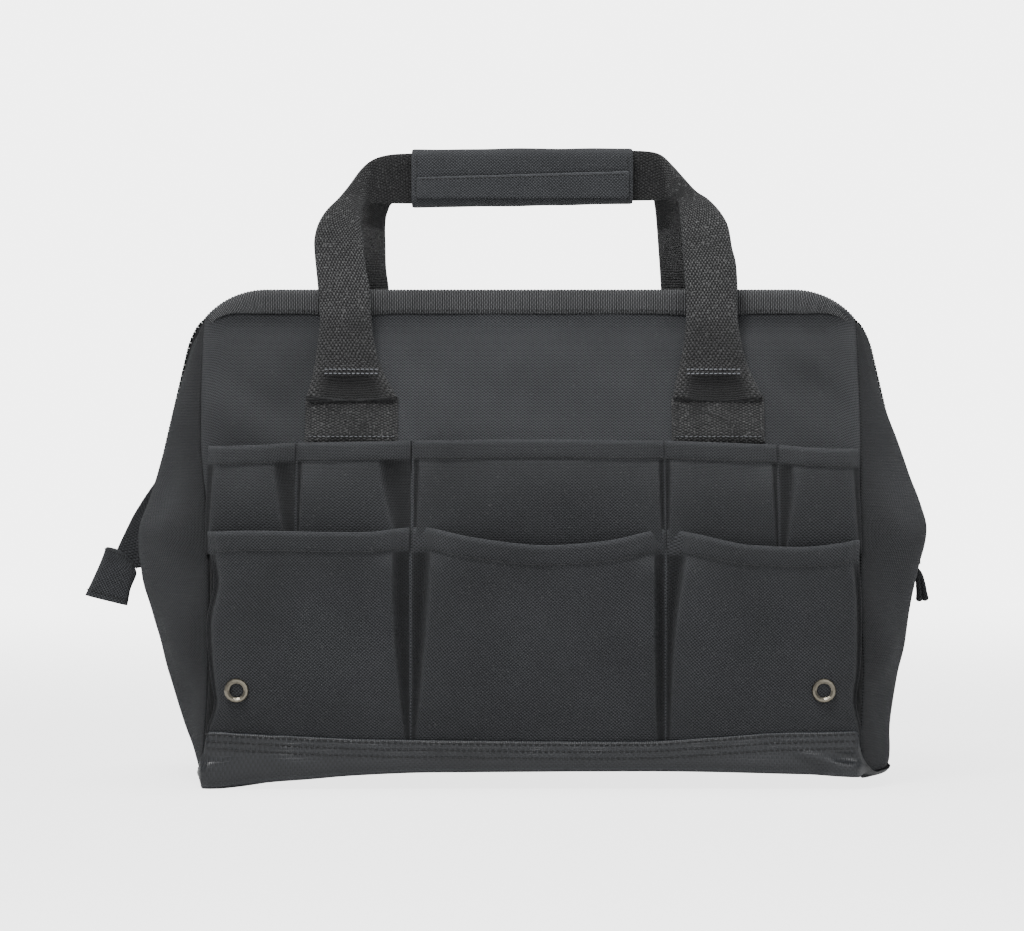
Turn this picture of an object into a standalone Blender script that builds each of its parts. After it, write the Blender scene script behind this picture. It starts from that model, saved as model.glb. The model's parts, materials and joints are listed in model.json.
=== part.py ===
import math

import bmesh
import bpy
from mathutils import Matrix, Vector

# Wide-mouth tool bag. Metres, +Z up, +X to the right, the photographed front faces -Y.
# The origin is the middle of the base, on the floor.

# Clearances and counts shared by the whole bag
SEAT_GAP = 0.0003            # between neighbours that touch
RUN_GAP = 0.0005             # between pieces that turn or slide on each other
ROUND_SIDES = 12             # facets round a pin, rod or cutter
SLOPE_STEP = 0.0005          # step used to read a surface's slope
CUT_OVERRUN = 0.004          # how far a cutter passes its wall

# Lower body: the walls below the mouth hinge
HINGE_Z = 0.1345             # height of the mouth hinge pins
RIM_DROP = 0.003             # the lower walls end this far below the pins
SEAM_HALF = 0.171            # middle to the panel-to-gusset seams
HIP_HALF = 0.199             # middle to the gusset's outside at the hips
FOOT_HALF = 0.174            # middle to the gusset's outside at the floor
HIP_FULL_Z = 0.110           # height at which the gusset is at its fullest
GUSSET_CURVE_SHARE = 1.1     # how slowly the hips start to swell
GUSSET_FULL_SHARE = 4        # how square the gussets are across, where 2 is a plain arch
BASE_DEPTH_HALF = 0.0912     # middle to the front wall at the floor
RIM_DEPTH_HALF = 0.0895      # middle to the front wall at the rim
CLOTH_WALL = 0.0025          # thickness of the padded cloth walls

# Coated base cover and the board that lies in it
COVER_TOP_Z = 0.028
COVER_WALL = 0.0025
COVER_EASE = 0.0006          # room between the walls and the cover
COVER_ROUND_Z = 0.005        # height of the rolled lower edge
COVER_ROUND_IN = 0.006       # how far the rolled edge runs in under the base
COVER_ROUND_SHARES = ((0, 1), (0.25, 0.35), (1, 0))
COVER_FLOOR_SHARE = 0.3
BOARD_THICK = 0.003
BOARD_MARGIN = 0.0004

# Mouth: the U-shaped opening edge, seen from the front
MOUTH_HIP_OUT = 0.0010       # its side line outside the hips
MOUTH_CORNER_OUT = 0.0005    # its side line outside the seams, at the top
MOUTH_TOP_Z = 0.256
CORNER_RADIUS = 0.042
ZIP_PARTING = 0.0006         # half the gap between the two halves of the mouth

# Flaps: the upper walls that swing out with the mouth frames
FLAP_TUCK_IN = 0.003         # their sides inside the seams
FLAP_SWING_IN = 0.007        # their lower edge inside the rim, so that it can fold in
FLAP_FOOT_LIFT = 0.0025      # lower edge above the pins
FLAP_BULGE = 0.004
FLAP_WALL = 0.0025
FLAP_ROD_GAP = 0.0007        # top edge of the cloth below the rod
FLAP_STRAIGHT = 0.002        # upright cloth below the binding
GUSSET_TUCK = 0.0045         # upper gusset inside the mouth line at its foot
GUSSET_WALL = 0.0022
GUSSET_TOP_DROP = 0.001      # its top below the start of the corner

# Binding along the top edge: an inverted channel that holds the rod and the cloth
BAND_DEPTH = 0.0150
BAND_END_DEPTH = 0.0070
BAND_LEG = 0.0015
BAND_NEAR_Y = 0.0060
BAND_END_SHARE = 0.42        # share of the corner arc that the binding leaves bare

# Zip tapes
TAPE_THICK = 0.0022
TAPE_PART = 0.00025          # half the gap between the closed tapes
TAPE_SIDE_WIDTH = 0.0090
TAPE_TOP_INSET = 0.0040
TAPE_FOOT_RISE = 0.0130      # its lower end above the pins

# Steel mouth frames and their hinge pins
ROD_RADIUS = 0.0025
ROD_SIDE_INSET = 0.0098
ROD_FOOT_Y = 0.0025
EYE_RADIUS = 0.0055
EYE_THICK = 0.0030
EYE_IN = 0.0100              # outer eye inside the hips
ROD_START_RISE = 0.0035      # the rod leaves its eye this far above the pin
ROD_SPREAD_RISE = 0.045      # the rod joins the mouth line this far above the pin
PIN_RADIUS = 0.0020
PIN_HEAD_RADIUS = 0.0040
PIN_INNER_HEAD = 0.0025
PIN_OUTER_HEAD = 0.0008
PATCH_THICK = 0.0012
PATCH_HALF_WIDTH = 0.0120
PATCH_TOP_RISE = 0.0055      # patch above the pin
PATCH_LENGTH = 0.0340

# Pockets
POCKET_WALL = 0.0018
POCKET_MARGIN = 0.0012       # flat seam allowance round a pocket
POCKET_RAMP = 0.0060         # height over which the bottom of a pocket opens
POCKET_END_IN = 0.003        # outer pockets' sides inside the seams
POCKET_DIVIDER = 0.0645      # seam between the middle pocket and its neighbours
POCKET_OUTER_DIVIDER = 0.124
SIDE_SHARES = ((0, 0), (0.3, 0.55), (1, 1))
LOWER_POCKET_RISE = 0.0020   # above the base cover
LOWER_POCKET_DROP = 0.0015   # below the rim
LOWER_POCKET_SAG = 0.0060
LOWER_PROUD_FOOT = 0.0070
LOWER_PROUD_TOP = 0.0100
LOWER_SIDE_FOOT = 0.0015     # width of a pocket's slanted side at its foot
LOWER_SIDE_TOP = 0.0080
UPPER_POCKET_TOP_Z = 0.1720
UPPER_POCKET_SAG = 0.0010
UPPER_PROUD_FOOT = 0.0025
UPPER_PROUD_TOP = 0.0090
UPPER_SIDE_FOOT = 0.0020
UPPER_SIDE_TOP = 0.0050

# Grommets in the lower outer pockets
GROMMET_SEAM_IN = 0.0215     # its middle inside the seam
GROMMET_Z = 0.0510
GROMMET_OUTER = 0.0063
GROMMET_HOLE = 0.0037
GROMMET_BARREL = 0.0046
GROMMET_RIM = 0.0015         # height of the rolled rim above the cloth
GROMMET_BACK = 0.0008        # thickness of the flange behind the cloth
GROMMET_SIDES = 16
# Section of the rolled rim: across from the hole, and up as a share of its height
GROMMET_RIM_SHARES = ((0, 0.5), (0.4, 1), (0.8, 0.8))

# Handle feet, straps and grip
STRAP_X = 0.0940
REAR_STRAP_X = 0.0880
FOOT_ABOVE_POCKETS = 0.0050
FOOT_PATCH_HEIGHT = 0.0200
FOOT_NECK_HEIGHT = 0.0150
FOOT_HALF_WIDTH = 0.0245
FOOT_NECK_HALF_WIDTH = 0.0170
FOOT_THICK = 0.0030
FOOT_FLARE_SHARES = ((0, 0), (0.5, 0.65), (1, 1))
PIVOT_DROP = 0.0050          # the straps start to swing this far below the top of their feet
STRAP_WIDTH = 0.0280
STRAP_THICK = 0.0060
BARREL_SHARES = ((-0.95, 0.31), (-0.6, 0.8), (0, 1))
GRIP_WEB_HEIGHT = 0.0250
GRIP_WEB_THICK = 0.0050
HANDLE_CORNER_RADIUS = 0.0320
GRIP_Z = 0.3130
FRONT_GRIP_Y = 0.0085
REAR_GRIP_Y = 0.0072
WRAP_HALF_LENGTH = 0.0570
WRAP_WALL = 0.0018
WRAP_EASE = 0.0004           # room between the webbing and the wrap
WRAP_ROUND = 0.0030
LEAF_THICK = 0.0016
LEAF_HEIGHT = 0.0160

# Zip end, slider and pull at the right hip
ZIP_END_THICK = 0.0012
ZIP_END_HALF_WIDTH = 0.0065
ZIP_END_LENGTH = 0.0295
ZIP_END_DROP = 0.0010        # below the pin's head
SLIDER_RISE = 0.0120         # above the zip end's lower edge
SLIDER_HEIGHT = 0.0130
SLIDER_THICK = 0.0030
SLIDER_HALF_WIDTH = 0.0050
SLIDER_SHARES = ((-1, 0), (1, 0), (1, 0.6), (0.6, 1), (-0.6, 1), (-1, 0.6))
PULL_LENGTH = 0.0170
PULL_THICK = 0.0012
PULL_HALF_WIDTH = 0.0045
PULL_AXIS_DROP = 0.0015      # pull's axis below the slider
PULL_SLOT_RADIUS = 0.0022
PULL_SLOT_SHARE = 0.72
PULL_SHARES = ((-0.6, 0), (0.6, 0), (0.6, 0.35), (1, 0.6), (1, 0.85), (0.6, 1), (-0.6, 1), (-1, 0.85),
               (-1, 0.6), (-0.6, 0.35))

# Zip tail and its folded tab at the left hip
TAIL_HINGE_RISE = 0.0175     # above the pins
TAIL_HINGE_IN = 0.0024       # inside the hinge pins' outer ends
TAIL_LEAN = math.radians(25)
TAIL_LENGTH = 0.0330
TAIL_WIDTH = 0.0118
TAIL_THICK = 0.0020
TAB_LENGTH = 0.0240
TAB_WIDTH = 0.0210
TAB_THICK = 0.0044
TAB_OUT_SHARE = 0.22         # outer top corner outside the tail's middle, as a share of the tab's width
# Outline of the tail: down as a share of its length, outwards as a share of its width
TAIL_SHARES = ((0, 0.09), (1, 0.10), (1.09, -0.92), (0.89, -0.88), (0.38, -0.22), (0, -0.09))
# Outline of the tab from its outer top corner: down its length, inwards across its width
TAB_SHARES = ((0, 0), (1, 0.03), (0.90, 1.02), (0.29, 0.90), (0.16, 0.76))

# Worked out from the sizes above
RIM_Z = HINGE_Z - RIM_DROP
MOUTH_HIP_HALF = HIP_HALF + MOUTH_HIP_OUT
MOUTH_CORNER_HALF = SEAM_HALF + MOUTH_CORNER_OUT
FLAP_HALF = SEAM_HALF - FLAP_TUCK_IN
FLAP_FOOT_Z = HINGE_Z + FLAP_FOOT_LIFT
FLAP_FOOT_DEPTH = RIM_DEPTH_HALF - FLAP_SWING_IN
FLAP_STRAIGHT_Z = MOUTH_TOP_Z - BAND_DEPTH - FLAP_STRAIGHT
ROD_ROOM = 2 * (ROD_RADIUS + SEAT_GAP)
BAND_FAR_Y = BAND_NEAR_Y + 2 * BAND_LEG + ROD_ROOM
ROD_TOP_Y = BAND_NEAR_Y + BAND_LEG + ROD_ROOM / 2
ROD_TOP_INSET = BAND_LEG + ROD_ROOM / 2
FLAP_TOP_DEPTH = BAND_FAR_Y - BAND_LEG - SEAT_GAP
FLAP_TOP_INSET = ROD_TOP_INSET + ROD_RADIUS + FLAP_ROD_GAP
GUSSET_INSET = TAPE_THICK + SEAT_GAP
TAPE_TOP_WIDTH = BAND_NEAR_Y - SEAT_GAP
EYE_X = {1: HIP_HALF - EYE_IN, -1: HIP_HALF - EYE_IN - EYE_THICK / 2 - ROD_RADIUS - RUN_GAP}
PATCH_X = HIP_HALF + SEAT_GAP
PIN_END_X = PATCH_X + PATCH_THICK + SEAT_GAP
LOWER_POCKET_FOOT_Z = COVER_TOP_Z + LOWER_POCKET_RISE
LOWER_POCKET_TOP_Z = RIM_Z - LOWER_POCKET_DROP
UPPER_POCKET_FOOT_Z = FLAP_FOOT_Z + SEAT_GAP
GROMMET_X = SEAM_HALF - GROMMET_SEAM_IN
FOOT_LOW_Z = UPPER_POCKET_TOP_Z + FOOT_ABOVE_POCKETS
FOOT_PATCH_TOP_Z = FOOT_LOW_Z + FOOT_PATCH_HEIGHT
FOOT_TOP_Z = FOOT_PATCH_TOP_Z + FOOT_NECK_HEIGHT
PIVOT_LIFT = FOOT_THICK + 2 * SEAT_GAP + STRAP_THICK / 2
WRAP_HALF_HEIGHT = GRIP_WEB_HEIGHT / 2 + WRAP_EASE + WRAP_WALL
WRAP_HALF_THICK = GRIP_WEB_THICK / 2 + WRAP_EASE + WRAP_WALL
ZIP_END_TOP_Z = HINGE_Z - PIN_HEAD_RADIUS - ZIP_END_DROP
ZIP_END_LOW_Z = ZIP_END_TOP_Z - ZIP_END_LENGTH
SLIDER_LOW_Z = ZIP_END_LOW_Z + SLIDER_RISE
SLIDER_X = PIN_END_X + ZIP_END_THICK + SEAT_GAP

# Colour, roughness and metallic value of each finish
FINISHES = {
    "charcoal_cloth": ((0.047, 0.051, 0.056, 1), 0.92, 0),
    "black_webbing": ((0.018, 0.019, 0.021, 1), 0.85, 0),
    "coated_cloth": ((0.034, 0.038, 0.046, 1), 0.48, 0),
    "zip_tape": ((0.014, 0.014, 0.016, 1), 0.80, 0),
    "frame_steel": ((0.42, 0.43, 0.44, 1), 0.35, 1),
    "pin_steel": ((0.36, 0.36, 0.37, 1), 0.35, 1),
    "grommet_nickel": ((0.46, 0.41, 0.36, 1), 0.32, 1),
    "black_metal": ((0.025, 0.025, 0.028, 1), 0.40, 1),
    "base_board": ((0.030, 0.030, 0.032, 1), 0.75, 0),
}

FRONT = -1
REAR = 1
SIDE_NAMES = {FRONT: "front", REAR: "rear"}
END_NAMES = {-1: "left", 1: "right"}


# Scene helpers

def clear_scene():
    for item in list(bpy.data.objects):
        bpy.data.objects.remove(item, do_unlink=True)


def finish(name):
    material = bpy.data.materials.get(name)
    if material is None:
        colour, roughness, metallic = FINISHES[name]
        material = bpy.data.materials.new(name)
        material.use_nodes = True
        shader = material.node_tree.nodes["Principled BSDF"]
        shader.inputs["Base Color"].default_value = colour
        shader.inputs["Roughness"].default_value = roughness
        shader.inputs["Metallic"].default_value = metallic
    return material


def add_object(name, mesh_builder, finish_name, axis_point=None):
    # Turns a bmesh into a named object whose origin lies on its joint's axis
    origin = Vector(axis_point) if axis_point else Vector((0, 0, 0))
    bmesh.ops.recalc_face_normals(mesh_builder, faces=mesh_builder.faces)
    if mesh_builder.calc_volume(signed=True) < 0:
        bmesh.ops.reverse_faces(mesh_builder, faces=mesh_builder.faces)
    bmesh.ops.translate(mesh_builder, vec=-origin, verts=mesh_builder.verts)
    mesh = bpy.data.meshes.new(name)
    mesh_builder.to_mesh(mesh)
    mesh_builder.free()
    mesh.materials.append(finish(finish_name))
    item = bpy.data.objects.new(name, mesh)
    item.location = origin
    bpy.context.collection.objects.link(item)
    return item


def cut(item, cutter, operation="DIFFERENCE"):
    # Cuts or joins with a hidden helper
    cutter.hide_render = True
    cutter.display_type = "WIRE"
    change = item.modifiers.new(cutter.name, "BOOLEAN")
    change.operation = operation
    change.object = cutter
    return item


def mix(start, end, share):
    return start + (end - start) * share


def steps(count):
    return [index / count for index in range(count + 1)]


def skin(rings, closed=False):
    # Lofts a solid through rings of points. Open lofts get flat ends
    solid = bmesh.new()
    loops = [[solid.verts.new(point) for point in ring] for ring in rings]
    pairs = list(zip(loops, loops[1:]))
    if closed:
        pairs.append((loops[-1], loops[0]))
    for near, far in pairs:
        for index in range(len(near)):
            after = (index + 1) % len(near)
            solid.faces.new((near[index], near[after], far[after], far[index]))
    if not closed:
        solid.faces.new(loops[0])
        solid.faces.new(loops[-1])
    return solid


def sheet(outer_rows, inner_rows):
    # A cloth wall between an outer grid of points and the matching inner grid
    solid = bmesh.new()
    outer = [[solid.verts.new(point) for point in row] for row in outer_rows]
    inner = [[solid.verts.new(point) for point in row] for row in inner_rows]
    for grid in (outer, inner):
        for low, high in zip(grid, grid[1:]):
            for index in range(len(low) - 1):
                solid.faces.new((low[index], low[index + 1], high[index + 1], high[index]))
    sides = [(outer[0], inner[0]), (outer[-1], inner[-1])]
    for column in (0, -1):
        sides.append(([row[column] for row in outer], [row[column] for row in inner]))
    for edge, back in sides:
        for index in range(len(edge) - 1):
            solid.faces.new((edge[index], edge[index + 1], back[index + 1], back[index]))
    return solid


def rectangle(low_u, high_u, low_v, high_v):
    return ((low_u, low_v), (high_u, low_v), (high_u, high_v), (low_u, high_v))


def plate(outline, place, thickness):
    # Extrudes a flat outline; place(u, v, depth) gives each point
    half = thickness / 2
    return skin([[place(u, v, -half) for u, v in outline], [place(u, v, half) for u, v in outline]])


def disc(centre, axis, radius, length, sides=ROUND_SIDES):
    # A round bar or cutter centred on a point
    solid = bmesh.new()
    turn = Vector((0, 0, 1)).rotation_difference(Vector(axis)).to_matrix().to_4x4()
    bmesh.ops.create_cone(
        solid, cap_ends=True, segments=sides, radius1=radius, radius2=radius, depth=length,
        matrix=Matrix.Translation(centre) @ turn)
    return solid


def turned(profile, centre, axis, sides):
    # Revolves a closed profile of (radius, height) points round an axis
    base = Vector(axis).orthogonal().normalized()
    direction = Vector(axis).normalized()
    side = direction.cross(base)
    rings = []
    for index in range(sides):
        angle = 2 * math.pi * index / sides
        spoke = base * math.cos(angle) + side * math.sin(angle)
        rings.append([Vector(centre) + spoke * radius + direction * height for radius, height in profile])
    return skin(rings, closed=True)


# Surfaces of the bag

def hip(z):
    rise = min(1, max(0, z / HIP_FULL_Z))
    return mix(FOOT_HALF, HIP_HALF, math.sin(math.pi / 2 * rise ** GUSSET_CURVE_SHARE))


def wall_depth(z):
    return mix(BASE_DEPTH_HALF, RIM_DEPTH_HALF, z / HINGE_Z)


def gusset_reach(z):
    # Middle to the gusset's edge, where it meets the inside of the panel
    return wall_depth(z) - CLOTH_WALL - SEAT_GAP


def gusset_x(y, z):
    across = min(1, abs(y) / gusset_reach(z))
    return SEAM_HALF + (hip(z) - SEAM_HALF) * (1 - across ** GUSSET_FULL_SHARE)


def flap_depth(z):
    share = min(1, max(0, (z - FLAP_FOOT_Z) / (FLAP_STRAIGHT_Z - FLAP_FOOT_Z)))
    return mix(FLAP_FOOT_DEPTH, FLAP_TOP_DEPTH, share) + FLAP_BULGE * 4 * share * (1 - share)


def flap_tilt(z):
    fall = flap_depth(z + SLOPE_STEP) - flap_depth(z - SLOPE_STEP)
    return math.atan2(-fall, 2 * SLOPE_STEP)


def wall_point(side, x, z, lift):
    return Vector((x, side * (wall_depth(z) + lift), z))


def flap_point(side, x, z, lift):
    tilt = flap_tilt(z)
    out = flap_depth(z) + lift * math.cos(tilt)
    return Vector((x, side * out, z + lift * math.sin(tilt)))


def mouth_lean():
    return math.atan2(MOUTH_HIP_HALF - MOUTH_CORNER_HALF, MOUTH_TOP_Z - HINGE_Z)


def mouth_path(foot_z, side_steps=4, arc_steps=6):
    # Stations along the right half of the mouth line, foot to middle:
    # place in x and z, outward normal, and a share that is 0 on the side and 1 on top
    lean = mouth_lean()
    centre_z = MOUTH_TOP_Z - CORNER_RADIUS
    centre_x = MOUTH_HIP_HALF - (CORNER_RADIUS + math.sin(lean) * (centre_z - HINGE_Z)) / math.cos(lean)
    side_out = Vector((math.cos(lean), 0, math.sin(lean)))
    centre = Vector((centre_x, 0, centre_z))
    bend_start = centre + side_out * CORNER_RADIUS
    foot_x = MOUTH_HIP_HALF - math.tan(lean) * (foot_z - HINGE_Z)
    foot = Vector((foot_x, 0, foot_z))
    stations = [(foot.lerp(bend_start, share), side_out, 0) for share in steps(side_steps)[:-1]]
    for share in steps(arc_steps):
        angle = mix(lean, math.pi / 2, share)
        out = Vector((math.cos(angle), 0, math.sin(angle)))
        stations.append((centre + out * CORNER_RADIUS, out, share))
    return stations


def corner_foot_z():
    # Height at which the straight side of the mouth line turns into its corner
    return next(place.z for place, out, share in mouth_path(HINGE_Z, side_steps=1)[1:])


def whole_path(half):
    # The right half of a path followed by its mirror image
    mirrored = []
    for place, out, share in reversed(half):
        mirrored.append((Vector((-place.x, 0, place.z)), Vector((-out.x, 0, out.z)), share))
    return half + mirrored


def mouth_x(z):
    # Half width of the mouth line at a height on its straight side
    return MOUTH_HIP_HALF - math.tan(mouth_lean()) * (z - HINGE_Z)


def mouth_top(x, inset):
    # Height of the mouth line, moved in by an inset, above a place on the flap
    half = mouth_path(HINGE_Z)
    middle = half[-1][0]
    beyond = max(0, abs(x) - middle.x)
    radius = CORNER_RADIUS - inset
    return middle.z - CORNER_RADIUS + math.sqrt(max(0, radius ** 2 - beyond ** 2))


# Base cover and board

def plan_ring(z, grow, side_steps=16):
    # Outline of the lower body at a height, moved out by a distance
    stretch = (wall_depth(z) + grow) / wall_depth(z)
    ring = []
    for end in (1, -1):
        for share in steps(side_steps):
            y = end * mix(-wall_depth(z), wall_depth(z), share)
            ring.append(Vector((end * (gusset_x(y, z) + grow), y * stretch, z)))
    return ring


def cover_levels(foot_z):
    # Heights at which the cover and the gussets behind it share their rows
    return [mix(foot_z, COVER_TOP_Z, share) for share in steps(3)]


def base_pieces():
    outer = COVER_EASE + COVER_WALL
    rings = []
    for height, run_in in COVER_ROUND_SHARES:
        rings.append(plan_ring(COVER_ROUND_Z * height, outer - COVER_ROUND_IN * run_in))
    wall_levels = cover_levels(COVER_ROUND_Z)
    rings += [plan_ring(z, outer) for z in wall_levels[1:]]
    rings += [plan_ring(z, COVER_EASE) for z in reversed(wall_levels)]
    rings.append(plan_ring(COVER_WALL, COVER_EASE - COVER_ROUND_IN * COVER_FLOOR_SHARE))
    add_object("base_cover", skin(rings), "coated_cloth")
    board_in = -(CLOTH_WALL + BOARD_MARGIN)
    board_z = COVER_WALL + SEAT_GAP
    board = [plan_ring(board_z, board_in), plan_ring(board_z + BOARD_THICK, board_in)]
    add_object("base_board", skin(board), "base_board")


# Walls below the hinge

def lower_walls():
    foot_z = COVER_ROUND_Z + SEAT_GAP
    for side, name in SIDE_NAMES.items():
        rows = []
        inner = []
        for z in (foot_z, RIM_Z):
            rows.append([wall_point(side, x, z, 0) for x in (-SEAM_HALF, SEAM_HALF)])
            inner.append([wall_point(side, x, z, -CLOTH_WALL) for x in (-SEAM_HALF, SEAM_HALF)])
        add_object(name + "_lower_panel", sheet(rows, inner), "charcoal_cloth")
    for end, name in END_NAMES.items():
        rows = []
        inner = []
        for z in cover_levels(foot_z) + [mix(COVER_TOP_Z, RIM_Z, share) for share in steps(5)[1:]]:
            reach = gusset_reach(z)
            places = [mix(-reach, reach, across) for across in steps(16)]
            rows.append([Vector((end * gusset_x(y, z), y, z)) for y in places])
            inner.append([Vector((end * (gusset_x(y, z) - CLOTH_WALL), y, z)) for y in places])
        add_object(name + "_lower_gusset", sheet(rows, inner), "charcoal_cloth")


# Walls above the hinge

def flap_panel(side):
    start = mouth_path(HINGE_Z)[-1][0].x
    half = [mix(start, FLAP_HALF, share) for share in steps(4)]
    columns = [-x for x in reversed(half)] + half
    rows = []
    inner = []
    for x in columns:
        top_z = mouth_top(x, FLAP_TOP_INSET)
        knee_z = min(FLAP_STRAIGHT_Z, top_z - FLAP_STRAIGHT)
        heights = [mix(FLAP_FOOT_Z, knee_z, share) for share in steps(6)] + [top_z]
        rows.append([wall_of_flap(side, x, z, 0) for z in heights])
        inner.append([wall_of_flap(side, x, z, FLAP_WALL) for z in heights])
    add_object(SIDE_NAMES[side] + "_upper_panel", sheet(rows, inner), "charcoal_cloth")


def wall_of_flap(side, x, z, sink):
    # Level offset, so that the panel's edges stay at their height
    return Vector((x, side * (flap_depth(z) - sink / math.cos(flap_tilt(z))), z))


def upper_gusset(side, end):
    top_z = corner_foot_z() - GUSSET_TOP_DROP
    rows = []
    inner = []
    for share in steps(6):
        z = mix(FLAP_FOOT_Z, top_z, share)
        tuck = mix(GUSSET_TUCK, GUSSET_INSET, min(1, (z - FLAP_FOOT_Z) / (TAPE_FOOT_RISE - FLAP_FOOT_LIFT)))
        edge = flap_depth(z) - (FLAP_WALL + SEAT_GAP) / math.cos(flap_tilt(z))
        swell = mouth_x(z) - tuck / math.cos(mouth_lean()) - FLAP_HALF
        outside = []
        inside = []
        for across in steps(9):
            x = FLAP_HALF + swell * (1 - (1 - across) ** GUSSET_FULL_SHARE)
            y = side * mix(edge, ZIP_PARTING, across)
            outside.append(Vector((end * x, y, z)))
            inside.append(Vector((end * (x - GUSSET_WALL), y, z)))
        rows.append(outside)
        inner.append(inside)
    name = SIDE_NAMES[side] + "_" + END_NAMES[end] + "_upper_gusset"
    add_object(name, sheet(rows, inner), "charcoal_cloth")


def top_band(side):
    half = [station for station in mouth_path(HINGE_Z, arc_steps=12) if station[2] >= BAND_END_SHARE]
    rings = []
    for place, out, share in whole_path(half):
        depth = mix(BAND_END_DEPTH, BAND_DEPTH, (share - BAND_END_SHARE) / (1 - BAND_END_SHARE))
        near = BAND_NEAR_Y
        far = BAND_FAR_Y
        section = (
            (near, 0), (far, 0), (far, depth), (far - BAND_LEG, depth), (far - BAND_LEG, BAND_LEG),
            (near + BAND_LEG, BAND_LEG), (near + BAND_LEG, depth), (near, depth))
        rings.append([place - out * inset + Vector((0, side * y, 0)) for y, inset in section])
    add_object(SIDE_NAMES[side] + "_top_band", skin(rings), "black_webbing")


def zip_tape(side):
    rings = []
    for place, out, share in whole_path(mouth_path(HINGE_Z + TAPE_FOOT_RISE)):
        width = mix(TAPE_SIDE_WIDTH, TAPE_TOP_WIDTH, min(1, share / BAND_END_SHARE))
        inset = TAPE_TOP_INSET * share
        low = inset + TAPE_THICK
        section = ((TAPE_PART, inset), (width, inset), (width, low), (TAPE_PART, low))
        rings.append([place - out * down + Vector((0, side * y, 0)) for y, down in section])
    add_object(SIDE_NAMES[side] + "_zip_tape", skin(rings), "zip_tape")


# Steel frames, pins and patches

def mouth_frame(side):
    eye_x = EYE_X[side]
    corner_rise = corner_foot_z() - HINGE_Z
    half = [(Vector((eye_x, side * ROD_FOOT_Y, HINGE_Z + ROD_START_RISE)))]
    for place, out, share in mouth_path(HINGE_Z + ROD_SPREAD_RISE, side_steps=2):
        spread = min(1, (place.z - HINGE_Z) / corner_rise)
        inset = mix(ROD_SIDE_INSET, ROD_TOP_INSET, min(1, share / BAND_END_SHARE))
        half.append(place - out * inset + Vector((0, side * mix(ROD_FOOT_Y, ROD_TOP_Y, spread), 0)))
    points = half + [Vector((-point.x, point.y, point.z)) for point in reversed(half)]
    name = SIDE_NAMES[side] + "_frame"
    frame = add_object(name, tube(points, ROD_RADIUS), "frame_steel", (0, 0, HINGE_Z))
    for end, end_name in END_NAMES.items():
        centre = (end * eye_x, 0, HINGE_Z)
        eye = disc(centre, (1, 0, 0), EYE_RADIUS, EYE_THICK)
        cut(frame, add_object(name + "_eye_" + end_name, eye, "frame_steel"), "UNION")
    for end, end_name in END_NAMES.items():
        centre = (end * eye_x, 0, HINGE_Z)
        hole = disc(centre, (1, 0, 0), PIN_RADIUS + SEAT_GAP, EYE_THICK + 2 * CUT_OVERRUN)
        cut(frame, add_object(name + "_hole_" + end_name, hole, "pin_steel"))


def tube(points, radius):
    rings = []
    for index, point in enumerate(points):
        before = points[max(0, index - 1)]
        after = points[min(len(points) - 1, index + 1)]
        along = (after - before).normalized()
        across = along.cross(Vector((0, 1, 0))).normalized()
        up = across.cross(along)
        ring = []
        for step in range(ROUND_SIDES):
            angle = 2 * math.pi * step / ROUND_SIDES
            ring.append(point + (across * math.cos(angle) + up * math.sin(angle)) * radius)
        rings.append(ring)
    return skin(rings)


def hinge_pin(end):
    inner = EYE_X[FRONT] - ROD_RADIUS - RUN_GAP
    stations = (
        (inner - PIN_INNER_HEAD, PIN_HEAD_RADIUS),
        (inner, PIN_HEAD_RADIUS),
        (inner, PIN_RADIUS),
        (PIN_END_X, PIN_RADIUS),
        (PIN_END_X, PIN_HEAD_RADIUS),
        (PIN_END_X + PIN_OUTER_HEAD, PIN_HEAD_RADIUS),
    )
    rings = []
    for x, radius in stations:
        ring = []
        for step in range(ROUND_SIDES):
            angle = 2 * math.pi * step / ROUND_SIDES
            ring.append(Vector((end * x, radius * math.cos(angle), HINGE_Z + radius * math.sin(angle))))
        rings.append(ring)
    add_object("hinge_pin_" + END_NAMES[end], skin(rings), "pin_steel")


def hinge_patch(end):
    top = HINGE_Z + PATCH_TOP_RISE
    low = top - PATCH_LENGTH
    outline = rectangle(-PATCH_HALF_WIDTH, PATCH_HALF_WIDTH, low, top)
    middle = PATCH_X + PATCH_THICK / 2
    patch = plate(outline, lambda y, z, depth: Vector((end * (middle + depth), y, z)), PATCH_THICK)
    patch = add_object("hinge_patch_" + END_NAMES[end], patch, "black_webbing")
    hole = disc((end * middle, 0, HINGE_Z), (1, 0, 0), PIN_RADIUS + SEAT_GAP, PATCH_THICK + 2 * CUT_OVERRUN)
    cut(patch, add_object("hinge_patch_hole_" + END_NAMES[end], hole, "pin_steel"))


# Pockets

def pocket(name, surface, x_range, z_range, sag, proud, side_width):
    low_x, high_x = x_range
    foot_z, top_z = z_range
    height = top_z - foot_z
    ramp_end = (POCKET_MARGIN + POCKET_RAMP) / height
    levels = [(0, 0), (POCKET_MARGIN / height, 0), (ramp_end, proud[0])]
    for share in (0.5, 1):
        levels.append((mix(ramp_end, 1, share), mix(proud[0], proud[1], share)))
    rows = []
    inner = []
    for number, (rise, lift) in enumerate(levels):
        slope = mix(side_width[0], side_width[1], rise)
        outside = pocket_row(low_x, high_x, slope, 0)
        inside = pocket_row(low_x, high_x, slope, POCKET_WALL)
        wall_rise = POCKET_WALL if number in (1, 2) else 0
        rows.append([])
        inner.append([])
        for row, places, thickness, up in ((rows, outside, POCKET_WALL, 0), (inner, inside, 0, wall_rise)):
            for x, hump in places:
                across = (x - low_x) / (high_x - low_x)
                z = foot_z + height * rise - sag * rise * 4 * across * (1 - across)
                row[-1].append(surface(x, z + up, SEAT_GAP + thickness + lift * hump))
    return add_object(name, sheet(rows, inner), "charcoal_cloth")


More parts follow.
